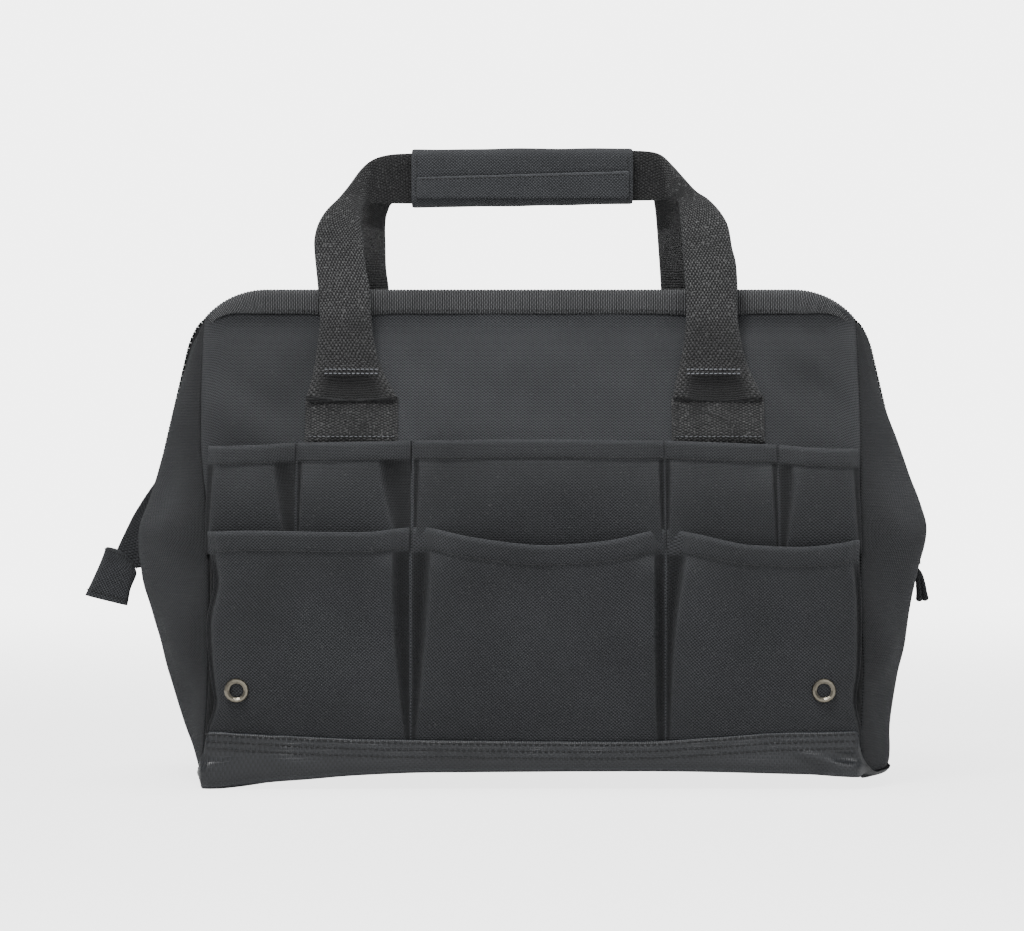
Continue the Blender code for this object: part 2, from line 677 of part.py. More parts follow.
def pocket_row(low_x, high_x, slope, wall):
    # Places across a pocket and how far each stands out, as a share
    half = [(0, 0)]
    for along, hump in SIDE_SHARES:
        half.append((POCKET_MARGIN + wall + slope * along, hump))
    left = [(low_x + x, hump) for x, hump in half]
    right = [(high_x - x, hump) for x, hump in reversed(half)]
    middle = [(mix(left[-1][0], right[0][0], share), 1) for share in (1 / 3, 2 / 3)]
    return left + middle + right


def lower_pockets(side):
    front = SIDE_NAMES[side]
    end_x = SEAM_HALF - POCKET_END_IN
    half_gap = SEAT_GAP / 2
    ranges = {
        "left": (-end_x, -POCKET_DIVIDER - half_gap),
        "middle": (-POCKET_DIVIDER + half_gap, POCKET_DIVIDER - half_gap),
        "right": (POCKET_DIVIDER + half_gap, end_x),
    }
    made = {}
    for place, x_range in ranges.items():
        made[place] = pocket(
            front + "_lower_pocket_" + place,
            lambda x, z, lift: wall_point(side, x, z, lift),
            x_range,
            (LOWER_POCKET_FOOT_Z, LOWER_POCKET_TOP_Z),
            LOWER_POCKET_SAG,
            (LOWER_PROUD_FOOT, LOWER_PROUD_TOP),
            (LOWER_SIDE_FOOT, LOWER_SIDE_TOP),
        )
    grommets(side, made)


def lower_face(side, x, z):
    # Point on the front face of a lower pocket
    height = LOWER_POCKET_TOP_Z - LOWER_POCKET_FOOT_Z
    ramp_end = (POCKET_MARGIN + POCKET_RAMP) / height
    share = ((z - LOWER_POCKET_FOOT_Z) / height - ramp_end) / (1 - ramp_end)
    lift = SEAT_GAP + POCKET_WALL + mix(LOWER_PROUD_FOOT, LOWER_PROUD_TOP, share)
    return wall_point(side, x, z, lift)


def grommets(side, pockets):
    above = lower_face(side, 0, GROMMET_Z + SLOPE_STEP)
    below = lower_face(side, 0, GROMMET_Z - SLOPE_STEP)
    out = Vector((1, 0, 0)).cross(above - below).normalized() * -side
    out = out if out.y * side > 0 else -out
    back = -(POCKET_WALL + SEAT_GAP)
    profile = [(GROMMET_HOLE, back - GROMMET_BACK)]
    for across, rise in GROMMET_RIM_SHARES:
        profile.append((mix(GROMMET_HOLE, GROMMET_OUTER, across), GROMMET_RIM * rise))
    profile += [
        (GROMMET_OUTER, SEAT_GAP),
        (GROMMET_BARREL, SEAT_GAP),
        (GROMMET_BARREL, back),
        (GROMMET_OUTER, back),
        (GROMMET_OUTER, back - GROMMET_BACK),
    ]
    for end, place in END_NAMES.items():
        centre = lower_face(side, end * GROMMET_X, GROMMET_Z)
        ring = turned(profile, centre, out, GROMMET_SIDES)
        add_object(SIDE_NAMES[side] + "_grommet_" + place, ring, "grommet_nickel")
        hole = disc(centre, out, GROMMET_BARREL + SEAT_GAP, 2 * CUT_OVERRUN, GROMMET_SIDES)
        cut(pockets[place], add_object(SIDE_NAMES[side] + "_grommet_hole_" + place, hole, "charcoal_cloth"))


def upper_pockets(side):
    end_x = FLAP_HALF
    half_gap = SEAT_GAP / 2
    ranges = {
        "outer_left": (-end_x, -POCKET_OUTER_DIVIDER - half_gap),
        "left": (-POCKET_OUTER_DIVIDER + half_gap, -POCKET_DIVIDER - half_gap),
        "middle": (-POCKET_DIVIDER + half_gap, POCKET_DIVIDER - half_gap),
        "right": (POCKET_DIVIDER + half_gap, POCKET_OUTER_DIVIDER - half_gap),
        "outer_right": (POCKET_OUTER_DIVIDER + half_gap, end_x),
    }
    for place, x_range in ranges.items():
        pocket(
            SIDE_NAMES[side] + "_upper_pocket_" + place,
            lambda x, z, lift: flap_point(side, x, z, lift),
            x_range,
            (UPPER_POCKET_FOOT_Z, UPPER_POCKET_TOP_Z),
            UPPER_POCKET_SAG,
            (UPPER_PROUD_FOOT, UPPER_PROUD_TOP),
            (UPPER_SIDE_FOOT, UPPER_SIDE_TOP),
        )


# Handles

def handle_foot(side, end, strap_x):
    levels = [(mix(FOOT_LOW_Z, FOOT_PATCH_TOP_Z, share), FOOT_HALF_WIDTH) for share in steps(2)[:-1]]
    for rise, narrow in FOOT_FLARE_SHARES:
        half = mix(FOOT_HALF_WIDTH, FOOT_NECK_HALF_WIDTH, narrow)
        levels.append((mix(FOOT_PATCH_TOP_Z, FOOT_TOP_Z, rise), half))
    rows = []
    inner = []
    for z, half in levels:
        places = (end * strap_x - half, end * strap_x + half)
        rows.append([flap_point(side, x, z, SEAT_GAP + FOOT_THICK) for x in places])
        inner.append([flap_point(side, x, z, SEAT_GAP) for x in places])
    name = SIDE_NAMES[side] + "_handle_foot_" + END_NAMES[end]
    add_object(name, sheet(rows, inner), "black_webbing")


def handle_pivot(side):
    return flap_point(side, 0, FOOT_TOP_Z - PIVOT_DROP, PIVOT_LIFT)


def grip_centre(side):
    return Vector((0, side * (FRONT_GRIP_Y if side == FRONT else REAR_GRIP_Y), GRIP_Z))


def handle(side, strap_x):
    pivot = handle_pivot(side)
    rise = grip_centre(side) - pivot
    up = rise.normalized()
    out = Vector((1, 0, 0)).cross(up)
    top = rise.length
    radius = HANDLE_CORNER_RADIUS
    half_thick = STRAP_THICK / 2
    # Each station: across the bag, up the handle, direction of the width, half width, half thickness
    half = []
    for rise_share, thick_share in BARREL_SHARES:
        half.append((strap_x, half_thick * rise_share, 0, STRAP_WIDTH / 2, half_thick * thick_share))
    for share in steps(6):
        angle = math.pi / 2 * share
        half.append((
            strap_x - radius * (1 - math.cos(angle)), top - radius * (1 - math.sin(angle)), angle,
            mix(STRAP_WIDTH, GRIP_WEB_HEIGHT, share) / 2, mix(STRAP_THICK, GRIP_WEB_THICK, share) / 2))
    rings = []
    for mirror, stations in ((1, half), (-1, list(reversed(half)))):
        for x, height, angle, half_width, thick in stations:
            centre = pivot + Vector((mirror * x, 0, 0)) + up * height
            width = Vector((mirror * math.cos(angle), 0, 0)) + up * math.sin(angle)
            corners = ((mirror, 1), (mirror, -1), (-mirror, -1), (-mirror, 1))
            if mirror < 0:
                corners = ((1, 1), (1, -1), (-1, -1), (-1, 1))
            rings.append([centre + width * half_width * a + out * thick * b for a, b in corners])
    add_object(SIDE_NAMES[side] + "_handle", skin(rings), "black_webbing", pivot)
    return up, out


def rounded_box(half_height, half_thick, radius):
    # Corner points of a rounded section, three to a corner
    points = []
    for turn, (a, b) in enumerate(((1, 1), (-1, 1), (-1, -1), (1, -1))):
        for share in steps(2):
            angle = math.pi / 2 * (turn + share)
            height = a * (half_height - radius) + radius * math.cos(angle)
            thick = b * (half_thick - radius) + radius * math.sin(angle)
            points.append((height, thick))
    return points


def grip_pieces(up, out):
    centre = grip_centre(FRONT)
    outer = rounded_box(WRAP_HALF_HEIGHT, WRAP_HALF_THICK, WRAP_ROUND)
    inner = rounded_box(WRAP_HALF_HEIGHT - WRAP_WALL, WRAP_HALF_THICK - WRAP_WALL, WRAP_ROUND - WRAP_WALL)
    rings = []
    for end, section in ((-1, outer), (1, outer), (1, inner), (-1, inner)):
        middle = centre + Vector((end * WRAP_HALF_LENGTH, 0, 0))
        rings.append([middle + up * a + out * b for a, b in section])
    add_object("grip_wrap", skin(rings, closed=True), "charcoal_cloth", handle_pivot(FRONT))
    outward = out if out.y < 0 else -out
    lift = WRAP_HALF_THICK + SEAT_GAP + LEAF_THICK / 2
    axis = centre + outward * lift - up * (WRAP_HALF_HEIGHT - WRAP_ROUND)
    outline = rectangle(-WRAP_HALF_LENGTH, WRAP_HALF_LENGTH, 0, LEAF_HEIGHT)
    across = Vector((1, 0, 0))
    leaf = plate(outline, lambda x, rise, depth: axis + across * x + up * rise + outward * depth, LEAF_THICK)
    add_object("grip_flap", leaf, "charcoal_cloth", axis)
    print("grip flap axis", [round(value, 5) for value in axis])


# Zip end, slider and pull at the right, and the tail at the left

def zip_end():
    outline = rectangle(-ZIP_END_HALF_WIDTH, ZIP_END_HALF_WIDTH, ZIP_END_LOW_Z, ZIP_END_TOP_Z)
    middle = PIN_END_X + ZIP_END_THICK / 2
    strip = plate(outline, lambda y, z, depth: Vector((middle + depth, y, z)), ZIP_END_THICK)
    add_object("zip_end_right", strip, "zip_tape")


def slider():
    outline = []
    for across, rise in SLIDER_SHARES:
        outline.append((SLIDER_HALF_WIDTH * across, SLIDER_LOW_Z + SLIDER_HEIGHT * rise))
    middle = SLIDER_X + SLIDER_THICK / 2
    body = plate(outline, lambda y, z, depth: Vector((middle + depth, y, z)), SLIDER_THICK)
    add_object("zip_slider", body, "black_metal", (middle, 0, SLIDER_LOW_Z))
    axis = Vector((middle, 0, SLIDER_LOW_Z - PULL_AXIS_DROP))
    head_z = axis.z + PULL_AXIS_DROP - SEAT_GAP
    outline = [(PULL_HALF_WIDTH * across, head_z - PULL_LENGTH * down) for across, down in PULL_SHARES]
    pull = plate(outline, lambda y, z, depth: Vector((middle + depth, y, z)), PULL_THICK)
    pull = add_object("zip_pull", pull, "black_metal", axis)
    slot = Vector((middle, 0, head_z - PULL_LENGTH * PULL_SLOT_SHARE))
    hole = disc(slot, (1, 0, 0), PULL_SLOT_RADIUS, PULL_THICK + 2 * CUT_OVERRUN)
    cut(pull, add_object("zip_pull_slot", hole, "black_metal"))
    print("pull axis", [round(value, 5) for value in axis])


def zip_tail():
    hinge_z = HINGE_Z + TAIL_HINGE_RISE
    hinge = Vector((TAIL_HINGE_IN - PIN_END_X - PIN_OUTER_HEAD, 0, hinge_z))
    down = Vector((-math.sin(TAIL_LEAN), 0, -math.cos(TAIL_LEAN)))
    out = Vector((-math.cos(TAIL_LEAN), 0, math.sin(TAIL_LEAN)))
    across = Vector((0, 1, 0))
    outline = [(TAIL_LENGTH * a, TAIL_WIDTH * b) for a, b in TAIL_SHARES]
    tail = plate(outline, lambda a, b, depth: hinge + down * a + out * b + across * depth, TAIL_THICK)
    add_object("zip_tail", tail, "zip_tape", hinge)
    # The tab's upper edge follows the tail's lower edge
    (low, low_out), (far, far_out) = TAIL_SHARES[1:3]
    slope = TAIL_LENGTH * (far - low) / (TAIL_WIDTH * (low_out - far_out))
    rise = slope * (TAB_WIDTH * TAB_OUT_SHARE - TAIL_WIDTH * low_out)
    corner = hinge + down * (TAIL_LENGTH * low + SEAT_GAP - rise) + out * TAB_WIDTH * TAB_OUT_SHARE
    outline = [(TAB_LENGTH * a, TAB_WIDTH * b) for a, b in TAB_SHARES]
    tab = plate(outline, lambda a, b, depth: corner + down * a - out * b + across * depth, TAB_THICK)
    add_object("zip_tail_tab", tab, "charcoal_cloth", hinge)
    print("tail hinge", [round(value, 5) for value in hinge])


def build_bag():
    clear_scene()
    base_pieces()
    lower_walls()
    for side in (FRONT, REAR):
        lower_pockets(side)
        flap_panel(side)
        upper_pockets(side)
        top_band(side)
        zip_tape(side)
        mouth_frame(side)
        for end in END_NAMES:
            upper_gusset(side, end)
            handle_foot(side, end, STRAP_X if side == FRONT else REAR_STRAP_X)
    for end in END_NAMES:
        hinge_pin(end)
        hinge_patch(end)
    up, out = handle(FRONT, STRAP_X)
    handle(REAR, REAR_STRAP_X)
    grip_pieces(up, out)
    zip_end()
    slider()
    zip_tail()
    print("handle pivots", [round(value, 5) for side in (FRONT, REAR) for value in handle_pivot(side)])


build_bag()
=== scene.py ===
import bpy
import bmesh
import json
import math
from mathutils import Matrix, Vector, noise

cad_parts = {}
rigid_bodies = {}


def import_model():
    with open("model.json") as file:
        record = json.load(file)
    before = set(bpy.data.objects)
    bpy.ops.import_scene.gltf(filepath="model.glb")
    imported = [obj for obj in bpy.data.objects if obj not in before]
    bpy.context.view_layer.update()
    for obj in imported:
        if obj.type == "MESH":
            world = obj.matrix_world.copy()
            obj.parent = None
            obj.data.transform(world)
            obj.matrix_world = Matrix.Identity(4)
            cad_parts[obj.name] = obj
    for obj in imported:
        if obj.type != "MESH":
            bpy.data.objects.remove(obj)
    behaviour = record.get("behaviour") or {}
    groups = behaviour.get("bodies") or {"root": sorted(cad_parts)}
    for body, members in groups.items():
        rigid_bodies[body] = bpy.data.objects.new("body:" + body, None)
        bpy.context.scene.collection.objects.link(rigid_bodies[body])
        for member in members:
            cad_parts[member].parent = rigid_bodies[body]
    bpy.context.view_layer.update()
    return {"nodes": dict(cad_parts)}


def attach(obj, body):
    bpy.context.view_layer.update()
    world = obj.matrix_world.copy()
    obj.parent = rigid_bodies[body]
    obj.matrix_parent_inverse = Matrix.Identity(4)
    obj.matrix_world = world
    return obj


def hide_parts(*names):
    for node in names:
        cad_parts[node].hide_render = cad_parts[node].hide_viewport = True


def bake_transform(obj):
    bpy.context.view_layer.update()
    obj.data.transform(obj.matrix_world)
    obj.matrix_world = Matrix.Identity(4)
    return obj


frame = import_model()


# small helpers

def clearSelection():
    for other in bpy.data.objects:
        other.select_set(False)
    bpy.context.view_layer.objects.active = None


def makeActive(obj):
    clearSelection()
    obj.select_set(True)
    bpy.context.view_layer.objects.active = obj


def smoothShare(value):
    value = max(0.0, min(1.0, value))
    return value * value * (3 - 2 * value)


# reads a list of (place, amount) pairs as a smooth line
def reading(table, at):
    if at <= table[0][0]:
        return table[0][1]
    if at >= table[-1][0]:
        return table[-1][1]
    last = len(table) - 1
    right = next(k for k in range(1, last + 1) if at <= table[k][0])
    left = right - 1
    before, after = max(left - 1, 0), min(right + 1, last)
    span = table[right][0] - table[left][0]
    slopeLeft = (table[right][1] - table[before][1]) / (table[right][0] - table[before][0])
    slopeRight = (table[after][1] - table[left][1]) / (table[after][0] - table[left][0])
    t = (at - table[left][0]) / span
    return (table[left][1] * (2 * t ** 3 - 3 * t ** 2 + 1)
            + table[right][1] * (3 * t ** 2 - 2 * t ** 3)
            + span * slopeLeft * (t ** 3 - 2 * t ** 2 + t)
            + span * slopeRight * (t ** 3 - t ** 2))


def cloudy(point, size, seed):
    return noise.noise(Vector(point) / size + Vector((seed, seed * 1.7, -seed)))


# a grid whose points are put where place(column, row) says, with its UVs in metres;
# without a facing it is a closed shape
def clothGrid(name, columns, rows, place, facing=None, joined=False, marks=None):
    clearSelection()
    bpy.ops.mesh.primitive_grid_add(x_subdivisions=columns, y_subdivisions=rows, size=1)
    obj = bpy.context.object
    obj.name = name
    obj.data.name = name
    spots = [(round((vert.co.x + 0.5) * columns), round((vert.co.y + 0.5) * rows))
             for vert in obj.data.vertices]
    points = {(c, r): place(c, r) for c in range(columns + 1) for r in range(rows + 1)}
    for vert, spot in zip(obj.data.vertices, spots):
        vert.co = points[spot]
    middleRow, middleColumn = rows // 2, columns // 2
    across, up = [0.0], [0.0]
    for c in range(columns):
        across.append(across[-1] + (points[c + 1, middleRow] - points[c, middleRow]).length)
    for r in range(rows):
        up.append(up[-1] + (points[middleColumn, r + 1] - points[middleColumn, r]).length)
    layer = obj.data.uv_layers.active.data
    for loop in obj.data.loops:
        column, row = spots[loop.vertex_index]
        layer[loop.index].uv = (across[column], up[row])
    for mark, amount in (marks or {}).items():
        marked = obj.data.attributes.new(mark, "FLOAT", "POINT")
        for index, spot in enumerate(spots):
            marked.data[index].value = amount(*spot)
    if joined:
        bpy.ops.object.mode_set(mode="EDIT")
        bpy.ops.mesh.select_all(action="SELECT")
        bpy.ops.mesh.remove_doubles(threshold=0.00001)
        if facing is None:
            bpy.ops.mesh.select_all(action="SELECT")
            bpy.ops.mesh.fill_holes(sides=200)
        bpy.ops.object.mode_set(mode="OBJECT")
    if facing is None:
        shell = bmesh.new()
        shell.from_mesh(obj.data)
        wrong = shell.calc_volume(signed=True) < 0
        shell.free()
    else:
        wrong = sum(poly.normal.dot(facing(poly.center)) * poly.area for poly in obj.data.polygons) < 0
    if wrong:
        obj.data.flip_normals()
    return obj


def paint(obj, material):
    obj.data.materials.clear()
    obj.data.materials.append(material)


def soften(obj, material, levels=1):
    if levels:
        soft = obj.modifiers.new("soft", "SUBSURF")
        soft.levels = levels
        soft.render_levels = levels
    makeActive(obj)
    for modifier in list(obj.modifiers):
        bpy.ops.object.modifier_apply(modifier=modifier.name)
    bpy.ops.object.shade_smooth()
    paint(obj, material)


def thicken(obj, thickness, material, levels=1):
    solid = obj.modifiers.new("thickness", "SOLIDIFY")
    solid.thickness = thickness
    solid.offset = -1
    soften(obj, material, levels)


# points at even steps along a line, each with its direction
def evenly(points, step):
    lengths = [0.0]
    for first, second in zip(points, points[1:]):
        lengths.append(lengths[-1] + (second - first).length)
    count = max(1, round(lengths[-1] / step))
    spots = []
    leg = 0
    for index in range(count + 1):
        at = lengths[-1] * index / count
        while leg < len(points) - 2 and lengths[leg + 1] < at:
            leg += 1
        share = (at - lengths[leg]) / max(lengths[leg + 1] - lengths[leg], 1e-9)
        along = (points[leg + 1] - points[leg]).normalized()
        spots.append((points[leg].lerp(points[leg + 1], share), along))
    return spots


# turns a copy so that its x goes along the line and its z away from the cloth
def turnTo(position, along, outward):
    along = along.normalized()
    side = outward.cross(along).normalized()
    up = along.cross(side)
    return Matrix.Translation(position) @ Matrix((along, side, up)).transposed().to_4x4()


# one mesh out of a copy of the model at each place
def copyAlong(model, name, places):
    row = bmesh.new()
    for place in places:
        copied = model.data.copy()
        copied.transform(place)
        row.from_mesh(copied)
        bpy.data.meshes.remove(copied)
    mesh = bpy.data.meshes.new(name)
    row.to_mesh(mesh)
    row.free()
    obj = bpy.data.objects.new(name, mesh)
    bpy.context.collection.objects.link(obj)
    makeActive(obj)
    bpy.ops.object.shade_smooth()
    return obj


# materials

# each named input gets a value, or a link when it is given another node's output
def setInputs(tree, node, values):
    for socket, value in values.items():
        if isinstance(value, bpy.types.NodeSocket):
            tree.links.new(value, node.inputs[socket])
        else:
            node.inputs[socket].default_value = value


def nodeIn(tree, kind, spot, values=None, **settings):
    node = tree.nodes.new(kind)
    node.location = spot
    for key, value in settings.items():
        setattr(node, key, value)
    setInputs(tree, node, values or {})
    return node


def mathIn(tree, operation, spot, *values):
    return nodeIn(tree, "ShaderNodeMath", spot, dict(enumerate(values)), operation=operation).outputs[0]


def floatMix(tree, spot, share, first, second):
    return nodeIn(tree, "ShaderNodeMix", spot, {0: share, 2: first, 3: second}, data_type="FLOAT").outputs[0]


def colourMix(tree, spot, share, first, second, blendType="MIX"):
    return nodeIn(tree, "ShaderNodeMix", spot, {0: share, 6: first, 7: second}, data_type="RGBA",
                  blend_type=blendType).outputs[2]


def newGroup(name, inputs, outputs):
    group = bpy.data.node_groups.new(name, "ShaderNodeTree")
    for label, value in inputs.items():
        socket = group.interface.new_socket(name=label, in_out="INPUT", socket_type="NodeSocketFloat")
        socket.default_value = value
    for label in outputs:
        group.interface.new_socket(name=label, in_out="OUTPUT", socket_type="NodeSocketFloat")
    given = nodeIn(group, "NodeGroupInput", (-900, 0)).outputs
    return group, given, nodeIn(group, "NodeGroupOutput", (700, 0))


# threads that go over and under each other, read from the piece's own UVs in metres
def weaveGroup():
    group, given, result = newGroup("threads", {"Pitch across": 0.001, "Pitch up": 0.001, "Loose": 0.3},
                                    ("Over", "Height", "Rib"))
    coords = nodeIn(group, "ShaderNodeTexCoord", (-900, -300))
    stray = nodeIn(group, "ShaderNodeTexNoise", (-700, -450),
                   {"Vector": coords.outputs["Object"], "Scale": 260, "Detail": 3})
    offCentre = mathIn(group, "SUBTRACT", (-500, -450), stray.outputs["Fac"], 0.5)
    strayShift = mathIn(group, "MULTIPLY", (-300, -450), offCentre, given["Loose"])
    parts = nodeIn(group, "ShaderNodeSeparateXYZ", (-700, -150), {0: coords.outputs["UV"]})
    waves = []
    for axis, pitch, y in (("X", given["Pitch across"], 150), ("Y", given["Pitch up"], -100)):
        turns = mathIn(group, "DIVIDE", (-500, y), parts.outputs[axis], pitch)
        shifted = mathIn(group, "ADD", (-350, y), turns, strayShift)
        waves.append(mathIn(group, "SINE", (-50, y), mathIn(group, "MULTIPLY", (-200, y), shifted, math.pi)))
    product = mathIn(group, "MULTIPLY", (120, 0), *waves)
    crossing = mathIn(group, "ABSOLUTE", (300, -100), product)
    setInputs(group, result, {
        "Over": mathIn(group, "MULTIPLY_ADD", (300, 100), product, 0.5, 0.5),
        "Height": mathIn(group, "POWER", (480, -100), crossing, 0.5),
        "Rib": mathIn(group, "POWER", (480, 300), mathIn(group, "ABSOLUTE", (300, 300), waves[0]), 1.5)})
    return group


# soft patches of handling, lint, and what the piece's own attributes say: wear with painted highlights, and
# painted shade
def wearAndLightGroup():
    group, given, result = newGroup("handlingAndPaintedLight", {"Patch size": 22.0, "Lint level": 0.66},
                                    ("Patches", "Worn", "Lint", "Crease"))
    place = nodeIn(group, "ShaderNodeTexCoord", (-900, -200)).outputs["Object"]
    broad = nodeIn(group, "ShaderNodeTexNoise", (-600, 100),
                   {"Vector": place, "Scale": given["Patch size"], "Detail": 5})
    fine = nodeIn(group, "ShaderNodeTexNoise", (-600, -200), {"Vector": place, "Scale": 900, "Detail": 2})
    edge = nodeIn(group, "ShaderNodeAttribute", (-600, -450), attribute_name="wear")
    crease = nodeIn(group, "ShaderNodeAttribute", (-600, -650), attribute_name="crease")
    grain = mathIn(group, "MULTIPLY", (-350, -350), fine.outputs["Fac"], 1.6)
    lintTop = mathIn(group, "ADD", (-350, -150), given["Lint level"], 0.07)
    lint = nodeIn(group, "ShaderNodeMapRange", (-150, -150),
                  {"Value": fine.outputs["Fac"], "From Min": given["Lint level"], "From Max": lintTop})
    setInputs(group, result, {
        "Patches": broad.outputs["Fac"], "Lint": lint.outputs[0], "Crease": crease.outputs["Fac"],
        "Worn": mathIn(group, "MULTIPLY", (-150, -400), edge.outputs["Fac"], grain)})
    return group


threads = weaveGroup()
handlingAndPaintedLight = wearAndLightGroup()


def greyed(level, blue=0.0):
    return (level * (1 - blue * 0.5), level, level * (1 + blue), 1)


def newMaterial(name):
    material = bpy.data.materials.new(name)
    material.use_nodes = True
    tree = material.node_tree
    return material, tree, tree.nodes["Principled BSDF"]


# what a cloth is like unless its own material says otherwise: thread pitches in metres, tones as albedo
clothLook = {"rough": 0.9, "sheen": 0.10, "shine": 0.22, "across": 0.00092, "up": 0.00084, "loose": 0.8,
             "patch": 20.0, "dark": 0.006, "light": 0.066, "blue": 0.08, "uneven": 0.16, "worn": 0.085,
             "lint": 0.3, "lintLevel": 0.66, "relief": 1.0, "depth": 0.0005, "ribbed": 0.0, "sharp": 1.0}


def clothMaterial(name, **own):
    look = {**clothLook, **own}
    dark, light, worn = (greyed(look[tone], look["blue"]) for tone in ("dark", "light", "worn"))
    material, tree, shader = newMaterial(name)
    weave = nodeIn(tree, "ShaderNodeGroup", (-900, 0), node_tree=threads)
    setInputs(tree, weave, {"Pitch across": look["across"], "Pitch up": look["up"], "Loose": look["loose"]})
    handledAndLit = nodeIn(tree, "ShaderNodeGroup", (-900, -300), node_tree=handlingAndPaintedLight)
    setInputs(tree, handledAndLit, {"Patch size": look["patch"], "Lint level": look["lintLevel"]})
    lit = floatMix(tree, (-800, 200), look["ribbed"], weave.outputs["Over"], weave.outputs["Rib"])
    lit = mathIn(tree, "POWER", (-720, 100), lit, look["sharp"])
    patchTone = nodeIn(tree, "ShaderNodeMapRange", (-650, -250),
                       {"Value": handledAndLit.outputs["Patches"], "From Min": 0.3, "From Max": 0.7,
                        "To Min": 1 - look["uneven"], "To Max": 1 + look["uneven"]})
    tone = colourMix(tree, (-650, 0), lit, dark, light)
    tone = colourMix(tree, (-450, -50), 1.0, tone, patchTone.outputs[0], "MULTIPLY")
    # wear and painted highlights: paler where the piece's attribute says
    tone = colourMix(tree, (-250, -50), handledAndLit.outputs["Worn"], tone, worn)
    lintShare = mathIn(tree, "MULTIPLY", (-450, -350), handledAndLit.outputs["Lint"], look["lint"])
    tone = colourMix(tree, (-80, -50), lintShare, tone, greyed(look["worn"] * 1.3))
    # painted shade: darker where the piece's attribute says shade falls
    paintedShadeShare = mathIn(tree, "MULTIPLY", (-450, -550), handledAndLit.outputs["Crease"], 0.5)
    tone = colourMix(tree, (100, -50), paintedShadeShare, tone, greyed(look["dark"] * 0.25, look["blue"]))
    height = floatMix(tree, (-450, -700), look["ribbed"], weave.outputs["Height"], weave.outputs["Rib"])
    bump = nodeIn(tree, "ShaderNodeBump", (-250, -400),
                  {"Height": height, "Strength": look["relief"], "Distance": look["depth"]})
    setInputs(tree, shader, {"Base Color": tone, "Normal": bump.outputs[0], "Roughness": look["rough"],
                             "Specular IOR Level": look["shine"], "Sheen Weight": look["sheen"],
                             "Sheen Roughness": 0.45, "Sheen Tint": greyed(0.62, 0.04)})
    return material


def metalMaterial(name, level, blue, rough, metallic, scratch):
    material, tree, shader = newMaterial(name)
    handledAndLit = nodeIn(tree, "ShaderNodeGroup", (-700, 0), node_tree=handlingAndPaintedLight)
    setInputs(tree, handledAndLit, {"Patch size": 180})
    patches = handledAndLit.outputs["Patches"]
    tone = colourMix(tree, (-400, 50), patches, greyed(level * 0.75, blue), greyed(level * 1.15, blue))
    roughness = nodeIn(tree, "ShaderNodeMapRange", (-400, -200),
                       {"Value": patches, "To Min": rough - scratch, "To Max": rough + scratch})
    setInputs(tree, shader, {"Base Color": tone, "Roughness": roughness.outputs[0], "Metallic": metallic,
                             "Specular IOR Level": 0.5 if metallic else 0.03})
    return material


strapLook = {"across": 0.00150, "up": 0.00082, "loose": 1.3, "dark": 0.001, "light": 0.100, "depth": 0.0007,
             "shine": 0.32, "rough": 0.8, "blue": 0.0, "worn": 0.13, "uneven": 0.30, "patch": 60.0,
             "lint": 0.5, "lintLevel": 0.60, "sharp": 2.8}
threadLook = {"across": 0.0004, "up": 0.0003, "relief": 0.3, "lint": 0.0}

charcoal = clothMaterial("charcoalCloth")
# the gussets get the charcoal cloth made darker: painted shade for the sides facing away from the light
gussetCloth = clothMaterial("gussetCloth", dark=0.002, light=0.050, sharp=1.5)
pocketCloth = clothMaterial("pocketCloth", dark=0.005, light=0.046)
upperPocketCloth = clothMaterial("upperPocketCloth", dark=0.004, light=0.043)
webbing = clothMaterial("blackWebbing", **strapLook)
patchWebbing = clothMaterial("patchWebbing", **{**strapLook, "light": 0.082, "lint": 0.45})
bindingCloth = clothMaterial("bindingTape", across=0.00175, up=0.0011, loose=0.15, dark=0.0005, light=0.142,
                             blue=0.03, ribbed=0.75, worn=0.14, sharp=2.2)
coated = clothMaterial("coatedCloth", rough=0.40, sheen=0.0, shine=0.45, dark=0.006, light=0.017, blue=0.16,
                       relief=0.5, uneven=0.14, lint=0.06, across=0.0012, up=0.0012, depth=0.0003)
tapeCloth = clothMaterial("zipTapeCloth", across=0.0009, up=0.0006, dark=0.006, light=0.026, blue=0.03,
                          sheen=0.0, shine=0.08)
wrapCloth = clothMaterial("wrapCloth", dark=0.008, light=0.068, across=0.0009, up=0.0008)
boardCloth = clothMaterial("boardSheet", dark=0.014, light=0.018, relief=0.2, rough=0.55)
thread = clothMaterial("blackThread", **threadLook, dark=0.002, light=0.008, shine=0.45, rough=0.6)
paleThread = clothMaterial("wornThread", **threadLook, dark=0.11, light=0.24)
steel = metalMaterial("frameSteel", 0.42, 0.03, 0.38, 1.0, 0.08)
nickel = metalMaterial("warmNickel", 0.17, -0.20, 0.34, 1.0, 0.08)
blackMetal = metalMaterial("blackMetal", 0.03, 0.05, 0.42, 0.6, 0.1)
toothPlastic = metalMaterial("zipTeeth", 0.010, 0.03, 0.55, 0.0, 0.06)
print("materials done")

# where the photograph was taken from; "far" is to the pockets' plane, "field" is the width seen there
camera = {"place": (-0.00925, -3.05, 0.222), "towards": (-0.00925, -0.07, 0.165), "far": 2.98, "field": 0.526}

